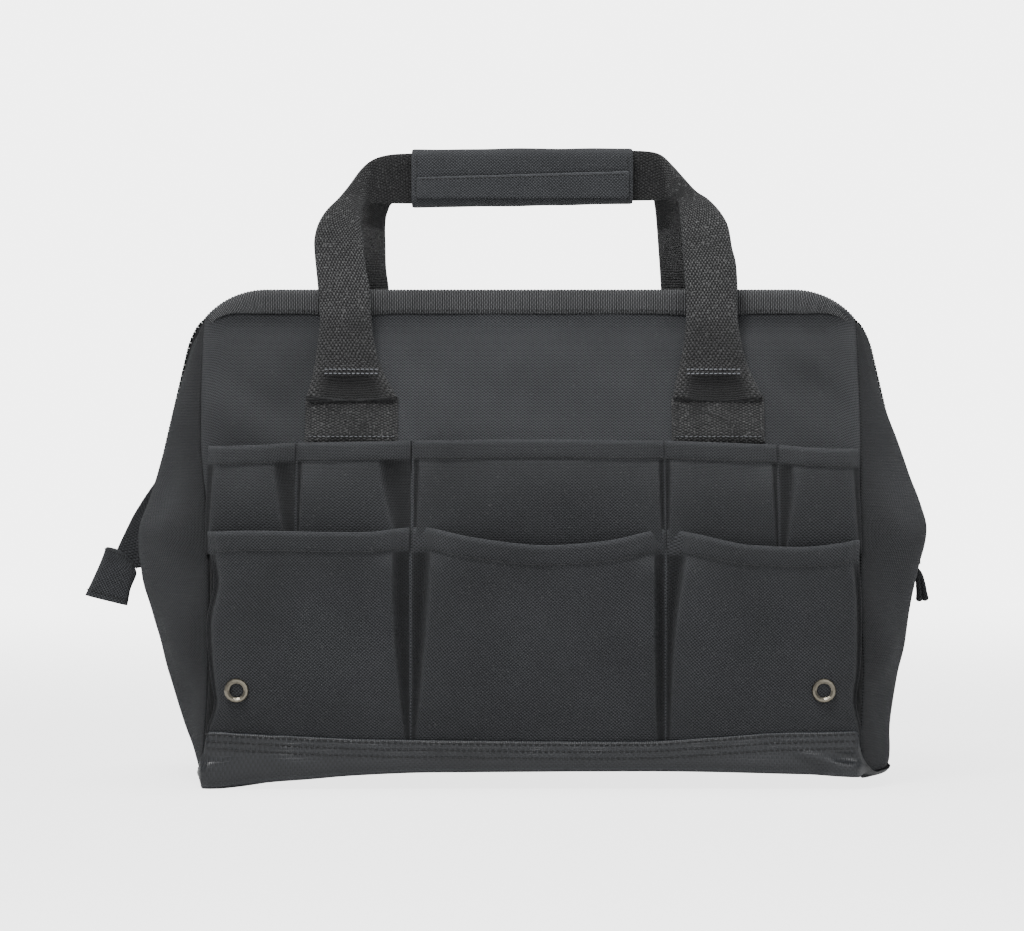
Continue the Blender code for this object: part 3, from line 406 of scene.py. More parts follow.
# measures that several pieces share, metres
body = {
    "hingeZ": 0.1345, "hipX": 0.2000, "lean": 0.2346,          # the mouth line's side
    "topZ": 0.256, "cornerRadius": 0.042, "cornerX": 0.1382, "cornerZ": 0.214,
    "cornerStart": math.radians(13.2), "sideTopZ": 0.2236,
    "cell": 0.004,
    "bendLow": 0.130, "bendHigh": 0.180,                        # the cloth bends between these heights
    "wallDepth": [(0.004, 0.0915), (0.06, 0.0912), (0.10, 0.0905), (0.120, 0.0890), (0.135, 0.0845),
                  (0.15, 0.0768), (0.17, 0.0645), (0.20, 0.0468), (0.225, 0.0290), (0.239, 0.0160),
                  (0.250, 0.0148)],
    "seam": {-1: [(0.004, 0.1690), (0.02, 0.1675), (0.06, 0.1650), (0.11, 0.1645), (0.14, 0.1660),
                  (0.178, 0.1705), (0.24, 0.1712)],
             1: [(0.004, 0.1695), (0.03, 0.1695), (0.06, 0.1706), (0.10, 0.1690), (0.14, 0.1695),
                 (0.178, 0.1712), (0.24, 0.1712)]},
    "middle": {-1: [(0.006, 0.1698), (0.0113, 0.1722), (0.0195, 0.1744), (0.035, 0.1795), (0.056, 0.1860),
                    (0.076, 0.1912), (0.097, 0.1962), (0.110, 0.1984), (0.1345, 0.1988)],
               1: [(0.003, 0.1822), (0.006, 0.1846), (0.0095, 0.1862), (0.0144, 0.1866), (0.0216, 0.1864),
                   (0.0283, 0.1862), (0.041, 0.1872), (0.056, 0.1890), (0.076, 0.1930), (0.097, 0.1972),
                   (0.110, 0.1988), (0.1345, 0.1988)]},
}
sideNames = {-1: "front", 1: "rear"}
endNames = {-1: "left", 1: "right"}


def wallDepth(z):
    return reading(body["wallDepth"], z)


# the way the front cloth faces at a height, for a side of +1
def flapNormal(z):
    slope = (wallDepth(z + 0.003) - wallDepth(z - 0.003)) / 0.006
    return Vector((0, 1, -slope)).normalized()


# the side line and the corner of the mouth, seen from the front
def mouthX(z):
    if z < body["sideTopZ"]:
        return body["hipX"] - body["lean"] * (z - body["hingeZ"])
    rise = min(z - body["cornerZ"], body["cornerRadius"])
    return body["cornerX"] + math.sqrt(body["cornerRadius"] ** 2 - rise ** 2)


def middleX(z, end):
    if z <= body["hingeZ"]:
        return reading(body["middle"][end], z)
    return mouthX(z) - 0.0012


def seamX(z, end):
    return reading(body["seam"][end], z)


def mouthTop(x):
    beyond = abs(x) - body["cornerX"]
    if beyond <= 0:
        return body["topZ"]
    return body["cornerZ"] + math.sqrt(max(body["cornerRadius"] ** 2 - beyond ** 2, 0))


# the mouth's corner, as a turn from a first angle up to the top
def cornerArc(firstAngle, end, steps):
    points = []
    for step in range(steps + 1):
        angle = firstAngle + (math.pi / 2 - firstAngle) * step / steps
        points.append(Vector((end * (body["cornerX"] + body["cornerRadius"] * math.cos(angle)), 0,
                              body["cornerZ"] + body["cornerRadius"] * math.sin(angle))))
    return points


# the mouth line from its foot at the left, over the top, to its foot at the right
def wholeMouthLine(footZ):
    halves = []
    for end in (-1, 1):
        low = [Vector((end * mouthX(z), 0, z)) for z in (footZ, body["sideTopZ"])]
        halves.append(low + cornerArc(body["cornerStart"], end, 24)[1:])
    return halves[0] + [Vector((0, 0, body["topZ"]))] + halves[1][::-1]


def hangOn(obj):
    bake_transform(obj)


# walls

walls = {
    "foot": 0.020, "topInset": 0.0030, "topMost": 0.2485, "thickness": 0.0022,
    "edge": 0.0045, "edgeIn": 0.0022,
    # ridges and hollows of the slack cloth: from, to, half width, height
    "folds": [((-0.150, 0.206), (-0.116, 0.186), 0.008, -0.0024),
              ((-0.172, 0.204), (-0.128, 0.172), 0.010, 0.0030),
              ((0.132, 0.232), (0.158, 0.206), 0.008, 0.0026),
              ((0.142, 0.216), (0.156, 0.200), 0.007, -0.0030),
              ((0.124, 0.206), (0.150, 0.182), 0.009, 0.0024),
              ((0.120, 0.216), (0.146, 0.190), 0.007, -0.0022),
              ((0.112, 0.232), (0.124, 0.208), 0.008, 0.0018),
              ((-0.060, 0.222), (0.050, 0.216), 0.012, 0.0016),
              ((-0.116, 0.232), (-0.119, 0.194), 0.007, -0.0032),
              ((0.066, 0.222), (0.064, 0.194), 0.006, -0.0018),
              ((-0.066, 0.214), (-0.052, 0.190), 0.008, 0.0020),
              ((-0.050, 0.200), (0.060, 0.190), 0.011, -0.0012)],
}


def foldHeight(folds, x, z):
    height = 0
    for start, stop, halfWidth, amount in folds:
        line = Vector(stop) - Vector(start)
        away = Vector((x, z)) - Vector(start)
        share = max(0, min(1, away.dot(line) / line.length_squared))
        distance = (away - line * share).length
        height += amount * math.exp(-(distance / halfWidth) ** 2) * math.sin(math.pi * (0.15 + 0.7 * share))
    return height


# how far a point of the wall is from the nearer end seam
def toSeam(x, z):
    return min(x + seamX(z, -1), seamX(z, 1) - x)


# the cloth lies still along the seams, so that it stays on the gussets
def slack(x, z, side):
    broad = cloudy((x, z * 1.3, side), 0.045, 3.1) * 0.0016
    fine = cloudy((x * 1.2, z, side), 0.014, 7.7) * 0.00035
    free = smoothShare((z - 0.13) / 0.03) * smoothShare(toSeam(x, z) / 0.009)
    return (broad + fine + foldHeight(walls["folds"], x * -side, z)) * free


def wall(side):
    columns = round(0.342 / body["cell"])
    rows = round(0.2285 / body["cell"])

    def place(column, row):
        across, up = column / columns, row / rows
        top = min(walls["topMost"], mouthTop(-0.168 + 0.336 * across) - walls["topInset"])
        z = walls["foot"] + (top - walls["foot"]) * up
        leftX, rightX = -seamX(z, -1), seamX(z, 1)
        x = leftX + (rightX - leftX) * across
        tucked = walls["edgeIn"] * (1 - smoothShare(toSeam(x, z) / walls["edge"]))
        still = smoothShare((body["topZ"] - 0.016 - z) / 0.01)
        return Vector((x, side * (wallDepth(z) - tucked + slack(x, z, side) * still), z))

    # painted shade: the low cloth darker by the seams, in the valley beside the gussets, and darker towards
    # both ends
    def shade(column, row):
        at = place(column, row)
        low = smoothShare((0.150 - at.z) / 0.03)
        return (1.9 * low * smoothShare(1 - toSeam(at.x, at.z) / 0.012)
                + 0.55 * smoothShare((abs(at.x) - 0.080) / 0.06))

    name = sideNames[side]
    obj = clothGrid(name + "Wall", columns, rows, place, lambda at: Vector((0, side, 0.2)),
                    marks={"crease": shade})
    thicken(obj, walls["thickness"], charcoal)
    hangOn(obj)
    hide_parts(name + "_lower_panel", name + "_upper_panel")


for side in (-1, 1):
    wall(side)
print("walls done")


# end gussets

gussets = {
    "foot": 0.0052, "top": 0.2390, "thickness": 0.0020, "columns": 24,
    "gap": [(0.128, -0.0003), (0.138, 0.0004)],                 # one cloth below the hips, open at the zip
    "bulge": [(0, 1), (0.25, 1.05), (0.5, 0.97), (0.75, 0.68), (0.9, 0.33), (0.97, 0.10), (1, 0)],
    "puff": {-1: [(0.006, 0.0), (0.035, 0.0006), (0.076, 0.0012), (0.097, 0.0022), (0.110, 0.0030),
                  (0.128, 0.0038), (0.1362, 0.0030), (0.1444, 0.0016), (0.155, 0.0004), (0.239, 0.0)],
             1: [(0.006, 0.0), (0.04, 0.0016), (0.10, 0.0020), (0.114, 0.0042), (0.1275, 0.0072),
                 (0.1367, 0.0076), (0.1444, 0.0068), (0.1557, 0.0048), (0.170, 0.0028), (0.19, 0.0016),
                 (0.239, 0.0)]},
    # hollows and ridges at the seam side: height, place across, half size, depth
    "dents": [(0.106, 0.80, 0.014, -0.0045), (0.072, 0.82, 0.016, 0.0024), (0.160, 0.76, 0.018, -0.0032),
              (0.048, 0.78, 0.012, -0.0030), (0.128, 0.70, 0.009, 0.0020), (0.188, 0.70, 0.014, 0.0018)],
}


def gussetPoint(side, end, across, z):
    middle, seam = middleX(z, end), seamX(z, end)
    depth = wallDepth(z) - walls["edgeIn"] * 0.8
    gap = reading(gussets["gap"], z)
    x = seam + (middle - seam) * reading(gussets["bulge"], across)
    x += reading(gussets["puff"][end], z) * math.sin(math.pi * across) ** 2
    for height, place, size, amount in gussets["dents"]:
        near = math.exp(-((z - height) / size) ** 2 - ((across - place) / 0.16) ** 2)
        x += amount * near * smoothShare((1 - across) / 0.10)
    wrinkle = math.sin(math.pi * min(across * 1.1, 1))
    x += (cloudy((across * 0.09, z * 0.5, side * 3 + end), 0.022, 5.3) * 0.0022
          + cloudy((across * 0.06, z, side + end * 5), 0.012, 9.1) * 0.0006) * wrinkle
    return Vector((end * x, side * (gap + (depth - gap) * across), z))


def gussetHalf(side, end):
    columns, rows = gussets["columns"], round((gussets["top"] - gussets["foot"]) / body["cell"])

    def place(column, row):
        z = gussets["foot"] + (gussets["top"] - gussets["foot"]) * row / rows
        return gussetPoint(side, end, column / columns, z)

    # painted shade darkens each gusset towards its seam, in the valley beside the front
    obj = clothGrid(sideNames[side] + endNames[end].capitalize() + "Gusset", columns, rows, place,
                    lambda at: Vector((end, side * 0.2, 0.1)),
                    marks={"crease": lambda column, row: smoothShare((column / columns - 0.72) / 0.28)})
    thicken(obj, gussets["thickness"], gussetCloth)
    hangOn(obj)
    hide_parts(f"{sideNames[side]}_{endNames[end]}_upper_gusset")
    if side < 0:
        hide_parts(endNames[end] + "_lower_gusset")


for side in (-1, 1):
    for end in (-1, 1):
        gussetHalf(side, end)
print("gussets done")


# stitches

clearSelection()
bpy.ops.mesh.primitive_uv_sphere_add(segments=6, ring_count=4, radius=0.5, rotation=(0, math.pi / 2, 0))
stitchModel = bpy.context.object
stitchModel.name = "stitchModel"
bpy.ops.object.transform_apply(rotation=True)


# a row of stitches along points that lie on the cloth, facing outward
def stitchRow(name, points, outward, pitch=0.0023, length=0.0017, width=0.00055, material=thread):
    size = Matrix.Diagonal((length, width, width * 0.7, 1))
    row = copyAlong(stitchModel, name, [turnTo(position, along, outward) @ size
                                        for position, along in evenly(points, pitch)])
    paint(row, material)
    return row


# points on a surface between two (across, up) places, a hair above the cloth
def seamOn(surface, start, stop, steps):
    (across, up), (farAcross, farUp) = start, stop
    return [surface(across + (farAcross - across) * k / steps, up + (farUp - up) * k / steps, 0.0001)
            for k in range(steps + 1)]


# pockets

lowerRow = {
    "level": "lower", "cloth": pocketCloth, "rows": 28,
    "foot": 0.0200, "hem": 0.0115, "thickness": 0.0016, "ramp": 0.024, "turn": 0.007,
    "lift": [(0.020, 0.0004), (0.030, 0.0012), (0.042, 0.0042), (0.06, 0.0064), (0.09, 0.0086),
             (0.135, 0.0098)],
    "top": [(-0.168, 0.1316), (-0.1434, 0.1324), (-0.0822, 0.1318), (-0.0622, 0.1338), (-0.0509, 0.1336),
            (-0.0319, 0.1295), (-0.0041, 0.1257), (0.0123, 0.1251), (0.0401, 0.1275), (0.0627, 0.1322),
            (0.0694, 0.1328), (0.0822, 0.1312), (0.1079, 0.1256), (0.1182, 0.1248), (0.1408, 0.1242),
            (0.168, 0.1275)],
    # how far the outer edges of the row run in from the seams, by height
    "waver": {-1: [(0.030, 0.0), (0.0437, 0.0044), (0.052, 0.0030), (0.0756, 0.0004), (0.089, 0.0004),
                   (0.097, 0.0024), (0.106, 0.0040), (0.120, 0.0016), (0.132, 0.0)],
              1: [(0.030, 0.0), (0.044, 0.0030), (0.060, 0.0008), (0.090, 0.0), (0.115, 0.0010),
                  (0.132, 0.0)]},
    # name, left and right edge, how far each side's pleat runs in at the foot, middle and top
    "pockets": [("Left", -0.1655, -0.0612, (0.0012, 0.0030, 0.0036), (0.0020, 0.0075, 0.0092)),
                ("Middle", -0.0608, 0.0690, (0.0018, 0.0070, 0.0104), (0.0040, 0.0052, 0.0056)),
                ("Right", 0.0694, 0.1695, (0.0018, 0.0040, 0.0118), (0.0012, 0.0030, 0.0036))],
}
upperRow = {
    "level": "upper", "cloth": upperPocketCloth, "rows": 14,
    "foot": 0.1200, "hem": 0.0105, "thickness": 0.0015, "ramp": 0.016, "turn": 0.004,
    "lift": [(0.120, 0.0012), (0.136, 0.0030), (0.155, 0.0066), (0.178, 0.0088)],
    "top": [(-0.168, 0.1750), (-0.136, 0.1758), (-0.121, 0.1768), (-0.05, 0.1780), (0.0, 0.1786),
            (0.07, 0.1778), (0.123, 0.1760), (0.146, 0.1743), (0.168, 0.1738)],
    "waver": {-1: [(0.12, 0.0), (0.18, 0.0)], 1: [(0.12, 0.0), (0.18, 0.0)]},
    "pockets": [("OuterLeft", -0.1662, -0.1200, (0.0016, 0.0030, 0.0040), (0.0040, 0.0090, 0.0125)),
                ("Left", -0.1196, -0.0602, (0.0014, 0.0020, 0.0024), (0.0060, 0.0140, 0.0185)),
                ("Middle", -0.0598, 0.0690, (0.0014, 0.0024, 0.0030), (0.0014, 0.0024, 0.0030)),
                ("Right", 0.0694, 0.1272, (0.0014, 0.0022, 0.0028), (0.0014, 0.0024, 0.0030)),
                ("OuterRight", 0.1276, 0.1695, (0.0030, 0.0066, 0.0080), (0.0016, 0.0030, 0.0040))],
}
# the pleat's columns from the seam to the face: place along it, share of the lift, how much painted shade
pleat = [(0.0, 0.0, 1.1), (0.5, 0.01, 1.3), (0.86, 0.05, 1.2), (0.97, 0.5, 0.8), (1.04, 0.9, 0.0)]
outerRamp = 0.007                                                              # for the row's own ends
grommets = {"x": 0.1495, "z": 0.0511, "spread": 0.016, "rise": 0.0022}         # the cloth rises to their rims
# rows gather at the hem, so that its fold and its groove show
hemSteps = (0, 0.06, 0.13, 0.3, 0.55, 0.8, 0.93, 0.975, 1)


def pocket(row, spec, side):
    label, leftEnd, rightEnd, leftPleat, rightPleat = spec
    outerLeft, outerRight = leftEnd < -0.15, rightEnd > 0.15
    columns = max(6, round((rightEnd - leftEnd) / body["cell"])) + 2 * len(pleat)
    foot, hemDeep = row["foot"], row["hem"]
    height = reading(row["top"], (leftEnd + rightEnd) / 2) - foot
    turnUp = 1 - (hemDeep + 0.0016) / height
    lowRows = row["rows"] - len(hemSteps) + 1
    steps = [turnUp * k / lowRows for k in range(lowRows)]
    steps += [turnUp + (1 - turnUp) * share for share in hemSteps]

    def faceEdges(up):
        low = foot + height * up
        leftX = leftEnd + (reading(row["waver"][-1], low) if outerLeft else 0)
        rightX = rightEnd - (reading(row["waver"][1], low) if outerRight else 0)
        leftIn, rightIn = (reading(list(zip((0, 0.5, 1), runs)), up) for runs in (leftPleat, rightPleat))
        return leftX, rightX, leftX + leftIn, rightX - rightIn

    def surface(column, up, extra=0.0):
        leftX, rightX, leftFace, rightFace = faceEdges(up)
        share = 1.0
        if column < len(pleat):
            along, share, dark = pleat[column]
            x = leftX + (leftFace - leftX) * along
        elif column > columns - len(pleat):
            along, share, dark = pleat[columns - column]
            x = rightX - (rightX - rightFace) * along
        else:
            inner = (column - len(pleat) + 0.5) / (columns - 2 * len(pleat) + 1)
            firstX = leftX + (leftFace - leftX) * 1.08
            lastX = rightX - (rightX - rightFace) * 1.08
            x = firstX + (lastX - firstX) * inner
        top = reading(row["top"], x)
        z = foot + (top - foot) * up
        below = top - z
        hem = smoothShare(1 - (below - hemDeep) / row["turn"]) if below > hemDeep else 1.0
        ramp = 0.04 + 0.96 * min(smoothShare((x - leftX) / (outerRamp if outerLeft else row["ramp"])),
                                 smoothShare((rightX - x) / (outerRamp if outerRight else row["ramp"])))
        lift = reading(row["lift"], z) * ((1 - hem) * share + hem * ramp)
        acrossFace = max(0.0, min(1.0, (x - leftFace) / max(rightFace - leftFace, 1e-6)))
        bow = math.sin(math.pi * acrossFace)
        crown = bow ** 0.7 * math.sin(math.pi * min(up * 1.05, 1)) * 0.0016
        crown += cloudy((x, z, side * 2), 0.03, 11.3) * 0.0012 * bow * smoothShare(up * 3)
        fromEyelet = math.hypot(abs(x) - grommets["x"], z - grommets["z"]) / grommets["spread"]
        onFace = smoothShare(12 * min(acrossFace, 1 - acrossFace))
        crown += grommets["rise"] * math.exp(-fromEyelet ** 2) * onFace
        lift += crown * (1 - 0.6 * hem)
        if below < hemDeep:
            lift += 0.0007
        if abs(below - hemDeep - 0.0006) < 0.0009:
            lift -= 0.0005 * share                                     # the groove under the hem
        if below < 0.0012:
            lift -= 0.0006                                             # rounds the folded edge
        lift += extra + 0.0004
        normal = flapNormal(z)
        wallZ = z - lift * normal.z
        return Vector((x, side * (wallDepth(wallZ) + slack(x, wallZ, side) + lift * normal.y), z))

    # the hem's top edge is paler: wear, and a painted highlight where the fold catches the light
    def topWearAndHighlight(column, step):
        return 0.55 * smoothShare(1 - (1 - steps[step]) * height / 0.0020)

    # painted shade in the pleats' wedges beside the dividers
    def pleatShade(column, step):
        fromSide = min(column, columns - column)
        if fromSide >= len(pleat) or (1 - steps[step]) * height < hemDeep:
            return 0
        return pleat[fromSide][2]

    name = sideNames[side] + row["level"].capitalize() + "Pocket" + label
    obj = clothGrid(name, columns, row["rows"], lambda column, step: surface(column, steps[step]),
                    lambda at: Vector((0, side, 0.1)), marks={"wear": topWearAndHighlight, "crease": pleatShade})
    thicken(obj, row["thickness"], row["cloth"])
    words = "".join("_" + letter.lower() if letter.isupper() else letter for letter in label)
    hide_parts(f"{sideNames[side]}_{row['level']}_pocket{words}")
    hemUp = 1 - (hemDeep - 0.0014) / height
    stitches = stitchRow(name + "Stitches", [surface(column, hemUp, 0.00015) for column in range(1, columns)],
                         Vector((0, side, 0.1)))
    for item in (obj, stitches):
        if row is lowerRow:
            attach(item, "root")
        else:
            hangOn(item)


for side in (-1, 1):
    for row in (lowerRow, upperRow):
        for spec in row["pockets"]:
            pocket(row, spec, side)
print("pockets done")


# base cover and board

cover = {
    "top": [(-0.166, 0.0302), (-0.0956, 0.0266), (-0.063, 0.0258), (0.0565, 0.0250), (0.0956, 0.0272),
            (0.123, 0.0292), (0.168, 0.0302)],
    "flapEnd": {-1: 0.1650, 1: 0.1672}, "cornerTop": 0.0172, "endTop": 0.0082,
    "low": [(-0.175, 0.0), (-0.159, 0.0), (-0.145, 0.0020), (-0.132, 0.0034), (-0.111, 0.0050),
            (-0.0925, 0.0065), (-0.061, 0.0080), (-0.036, 0.0083), (0.057, 0.0088), (0.096, 0.0084),
            (0.125, 0.0077), (0.150, 0.0068), (0.1645, 0.0060), (0.172, 0.0056), (0.182, 0.0052)],
    "out": 0.0034, "cornerOut": 0.0012, "endOut": 0.0009, "thickness": 0.0013, "roll": 0.0058,
    "stitchDrops": (0.0018, 0.0053, 0.0090), "wallRows": 12, "rollRows": 4, "floorRows": 8,
    # folds and hollows at the corners, seen from the front: from, to, half width, height
    "folds": [((0.1372, 0.0188), (0.1547, 0.0129), 0.0024, 0.0030),
              ((0.1520, 0.0134), (0.1690, 0.0110), 0.0022, 0.0032),
              ((0.1400, 0.0150), (0.1560, 0.0090), 0.0034, -0.0026),
              ((0.1560, 0.0175), (0.1680, 0.0155), 0.0026, -0.0022),
              ((-0.1620, 0.0180), (-0.1690, 0.0120), 0.0022, -0.0020),
              ((-0.1540, 0.0200), (-0.1640, 0.0100), 0.0030, -0.0018),
              ((-0.1590, 0.0150), (-0.1690, 0.0080), 0.0028, 0.0024),
              ((-0.1300, 0.0150), (-0.1120, 0.0120), 0.0035, 0.0012),
              ((0.1000, 0.0120), (0.1300, 0.0140), 0.0035, 0.0012)],
}


# stations round the body, back to the first: side, end (0 on the walls), place along it
def coverStations():
    stations = []
    turns = [1 - k / 18 for k in range(1, 18)]
    for side in (-1, 1):
        xs = [-0.1688, -0.1668, -0.1654, -0.1646] + [-0.161 + 0.0035 * k for k in range(93)]
        xs += [0.1650, 0.1668, 0.1676, 0.1690]
        stations += [(side, 0, x) for x in xs[::-side]]
        stations += [(side, -side, share) for share in turns]
        stations += [(-side, -side, share) for share in [0.0] + turns[::-1]]
    return stations + stations[:1]


coverLine = coverStations()


def coverSpot(station, z, out):
    side, end, share = station
    if end == 0:
        return Vector((share, side * (wallDepth(z) + out), z))
    at = gussetPoint(side, end, share, max(z, gussets["foot"]))
    return Vector((at.x + end * out, side * (wallDepth(z) + 0.0002) * share, z))


# how far a place along the front is past the end of the cover's flap
def pastFlap(x):
    return abs(x) - cover["flapEnd"][-1 if x < 0 else 1]


# how far the cover stands off the wall: it lies over the pockets' feet, and under the gussets' ends
def coverOut(station):
    side, end, share = station
    if end:
        return cover["endOut"]
    return cover["out"] + (cover["cornerOut"] - cover["out"]) * smoothShare((pastFlap(share) + 0.001) / 0.004)


# the band between the stitch rows puckers
def pucker(station, drop):
    if station[1]:
        return 0
    band = smoothShare(1 - abs(drop - 0.005) / 0.007)
    return cloudy((station[2], station[0], drop * 0.6), 0.0062, 6.6) * 0.0014 * band


def coverTop(station):
    side, end, share = station
    if end:
        return cover["endTop"] + (cover["cornerTop"] - cover["endTop"]) * smoothShare((share - 0.90) / 0.10)
    high = reading(cover["top"], share)
    return high + (cover["cornerTop"] - high) * smoothShare(pastFlap(share) / 0.0016)


def coverLow(x, y):
    slump = reading(cover["low"], x)
    if x > 0.15:
        slump *= 1 - 0.9 * smoothShare(y / 0.06)
    return slump


# soft folds where the cloth is tucked in at the corners
def coverFold(station, z):
    side, end, share = station
    if end:
        return 0.0008 * math.exp(-((share - 0.93) / 0.03) ** 2)
    return -foldHeight(cover["folds"], share * -side, z) + cloudy((share, z, side), 0.022, 2.9) * 0.0008


# the upright part, whose share runs from its top edge to where it turns under
def coverUpright(station, z, share, drop, extra):
    out = coverOut(station) + 0.0005 * math.sin(math.pi * share) - coverFold(station, z)
    return coverSpot(station, z, out + pucker(station, drop) + extra)


def coverPlace(column, row):
    station = coverLine[column]
    side, end, along = station
    wallRows, rollRows = cover["wallRows"], cover["rollRows"]
    top = coverTop(station)
    rough = coverSpot(station, 0.01, 0)
    low = coverLow(rough.x, rough.y)
    rollTop = low + cover["roll"]
    if top < rollTop + 0.001:
        rollTop = top - 0.001
    if row <= wallRows:
        share = row / wallRows
        z = top + (rollTop - top) * share
        return coverUpright(station, z, share, top - z, -0.0004 if row == 0 else 0)
    if row <= wallRows + rollRows:
        angle = (row - wallRows) / rollRows * math.pi / 2
        at = coverSpot(station, rollTop, coverOut(station) - coverFold(station, rollTop))
        sunk = cover["roll"] * (1 - math.cos(angle))
        at -= Vector((end, 0 if end and along < 0.9 else side, 0)) * sunk
        at.z = rollTop - (rollTop - low) * math.sin(angle)
        return at
    share = (row - wallRows - rollRows) / cover["floorRows"]
    rim = coverPlace(column, wallRows + rollRows)
    at = rim.lerp(Vector((rim.x * 0.55, 0, 0)), share)
    return Vector((at.x, at.y, low + (coverLow(at.x, at.y) - low) * smoothShare(share * 1.6)))


# paler where the cover turns under, and a painted highlight along its top edge
def coverWearAndHighlight(column, row):
    return 0.25 * smoothShare(1 - abs(row - 15) / 2) + (0.2 if row == 0 else 0)


# painted shade on the cover's ends round the gussets
def coverShade(column, row):
    return 1.4 if coverLine[column][1] else 0.0


coverRows = cover["wallRows"] + cover["rollRows"] + cover["floorRows"]
coverObj = clothGrid("baseCover", len(coverLine) - 1, coverRows, coverPlace,
                     lambda at: Vector((at.x, at.y, -0.15)), True, {"wear": coverWearAndHighlight, "crease": coverShade})
thicken(coverObj, cover["thickness"], coated)
for vert in coverObj.data.vertices:
    vert.co.z = max(vert.co.z, 0.0)                                    # it rests on the floor
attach(coverObj, "root")
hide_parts("base_cover")

for side in (-1, 1):
    stations = sorted(station for station in coverLine[:-1]
                      if station[:2] == (side, 0) and -0.1648 < station[2] < 0.1668)
    for number, drop in enumerate(cover["stitchDrops"]):
        points = []
        for station in stations:
            top = coverTop(station)
            low = coverLow(station[2], side * 0.09) + cover["roll"]
            share = min(1, drop / max(top - low, 0.001))
            points.append(coverUpright(station, top - drop, share, drop, 0.0003))
        stitches = stitchRow(f"{sideNames[side]}CoverStitches{number}", points, Vector((0, side, 0)),
                             pitch=0.0030, length=0.0023, width=0.0011)
        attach(stitches, "root")

board = {"halfX": 0.1655, "halfY": 0.086, "lift": 0.0026, "thickness": 0.0028, "columns": 48, "rows": 16}


def boardPlace(column, row):
    x = board["halfX"] * (2 * column / board["columns"] - 1)
    y = board["halfY"] * (2 * row / board["rows"] - 1)
    corner = smoothShare((abs(x) - 0.150) / 0.018) * smoothShare((abs(y) - 0.068) / 0.018)
    return Vector((x * (1 - corner * 0.03), y * (1 - corner * 0.05),
                   coverLow(x, y) + board["lift"] + board["thickness"]))


boardObj = clothGrid("baseBoard", board["columns"], board["rows"], boardPlace, lambda at: Vector((0, 0, 1)))
thicken(boardObj, board["thickness"], boardCloth, 0)
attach(boardObj, "root")
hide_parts("base_board")
print("base done")


# ribbed binding over the mouth's edges

binding = {
    "pitch": 0.00175, "rib": 0.0007, "endAngle": math.radians(40), "outerRows": 10,
    # section: depth in y from the middle, drop from the mouth line
    "section": [(0.0064, 0.0118), (0.0060, 0.0060), (0.0062, 0.0018), (0.0078, 0.0003), (0.0105, -0.0002),
                (0.0132, 0.0003), (0.0150, 0.0022), (0.0158, 0.0060), (0.0162, 0.0100), (0.0163, 0.0128),
                (0.0150, 0.0130), (0.0148, 0.0090), (0.0142, 0.0040), (0.0125, 0.0018), (0.0105, 0.0013),
                (0.0084, 0.0018), (0.0075, 0.0034), (0.0074, 0.0080), (0.0076, 0.0118)],
}


# away from the bag, for a line that runs over the mouth from left to right
def upFrom(along):
    return Vector((-along.z, 0, along.x))


# the binding hangs lower under the handles
def bindingSag(x):
    return 0.0012 * smoothShare(1 - abs(abs(x) - 0.094) / 0.03)


def bindingTape(side):
    arcs = [cornerArc(binding["endAngle"], end, 20) for end in (-1, 1)]
    line = evenly(arcs[0] + arcs[1][::-1], binding["pitch"] / 2)
    section, columns = binding["section"], len(line) - 1

    def place(column, row):
        position, along = line[column]
        y, drop = section[row % len(section)]
        narrow = 0.10 + 0.90 * smoothShare(min(column, columns - column) / len(line) / 0.095)
        if drop > 0.004:
            drop = 0.004 + (drop - 0.004) * narrow + bindingSag(position.x)
        rib = binding["rib"] * (1 if column % 2 else -1)
        if row < binding["outerRows"] and y > 0.0145:
            y += rib
        elif row < binding["outerRows"] and drop < 0.001:
            drop -= rib
        wave = cloudy(position, 0.03, 4.2) * 0.0006
        return position - upFrom(along) * drop + Vector((0, side * (y + wave), 0))

    name = sideNames[side]
    obj = clothGrid(name + "Binding", columns, len(section), place, joined=True)
    soften(obj, bindingCloth)
    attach(obj, name + "_mouth")
    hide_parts(name + "_top_band")
    points = [spot + Vector((0, side * 0.0166, -0.0108 - bindingSag(spot.x)))
              for spot, along in line if abs(spot.x) < 0.134]
    stitches = stitchRow(name + "BindingStitches", points, Vector((0, side, 0)), pitch=0.0026)
    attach(stitches, name + "_mouth")


for side in (-1, 1):
    bindingTape(side)
print("binding done")


# zip tapes and teeth

zipTape = {
    "foot": 0.147, "sideWidth": 0.0088, "topWidth": 0.0066, "gap": 0.0007, "thickness": 0.0009,
    "proud": 0.0002, "rows": 3, "toothPitch": 0.0030, "tooth": (0.00145, 0.0026, 0.0015), "toothY": 0.00085,
}


# the zip narrows and lies lower between the two bindings
def zipOnTop(position):
    return smoothShare((position.z - 0.236) / 0.014)


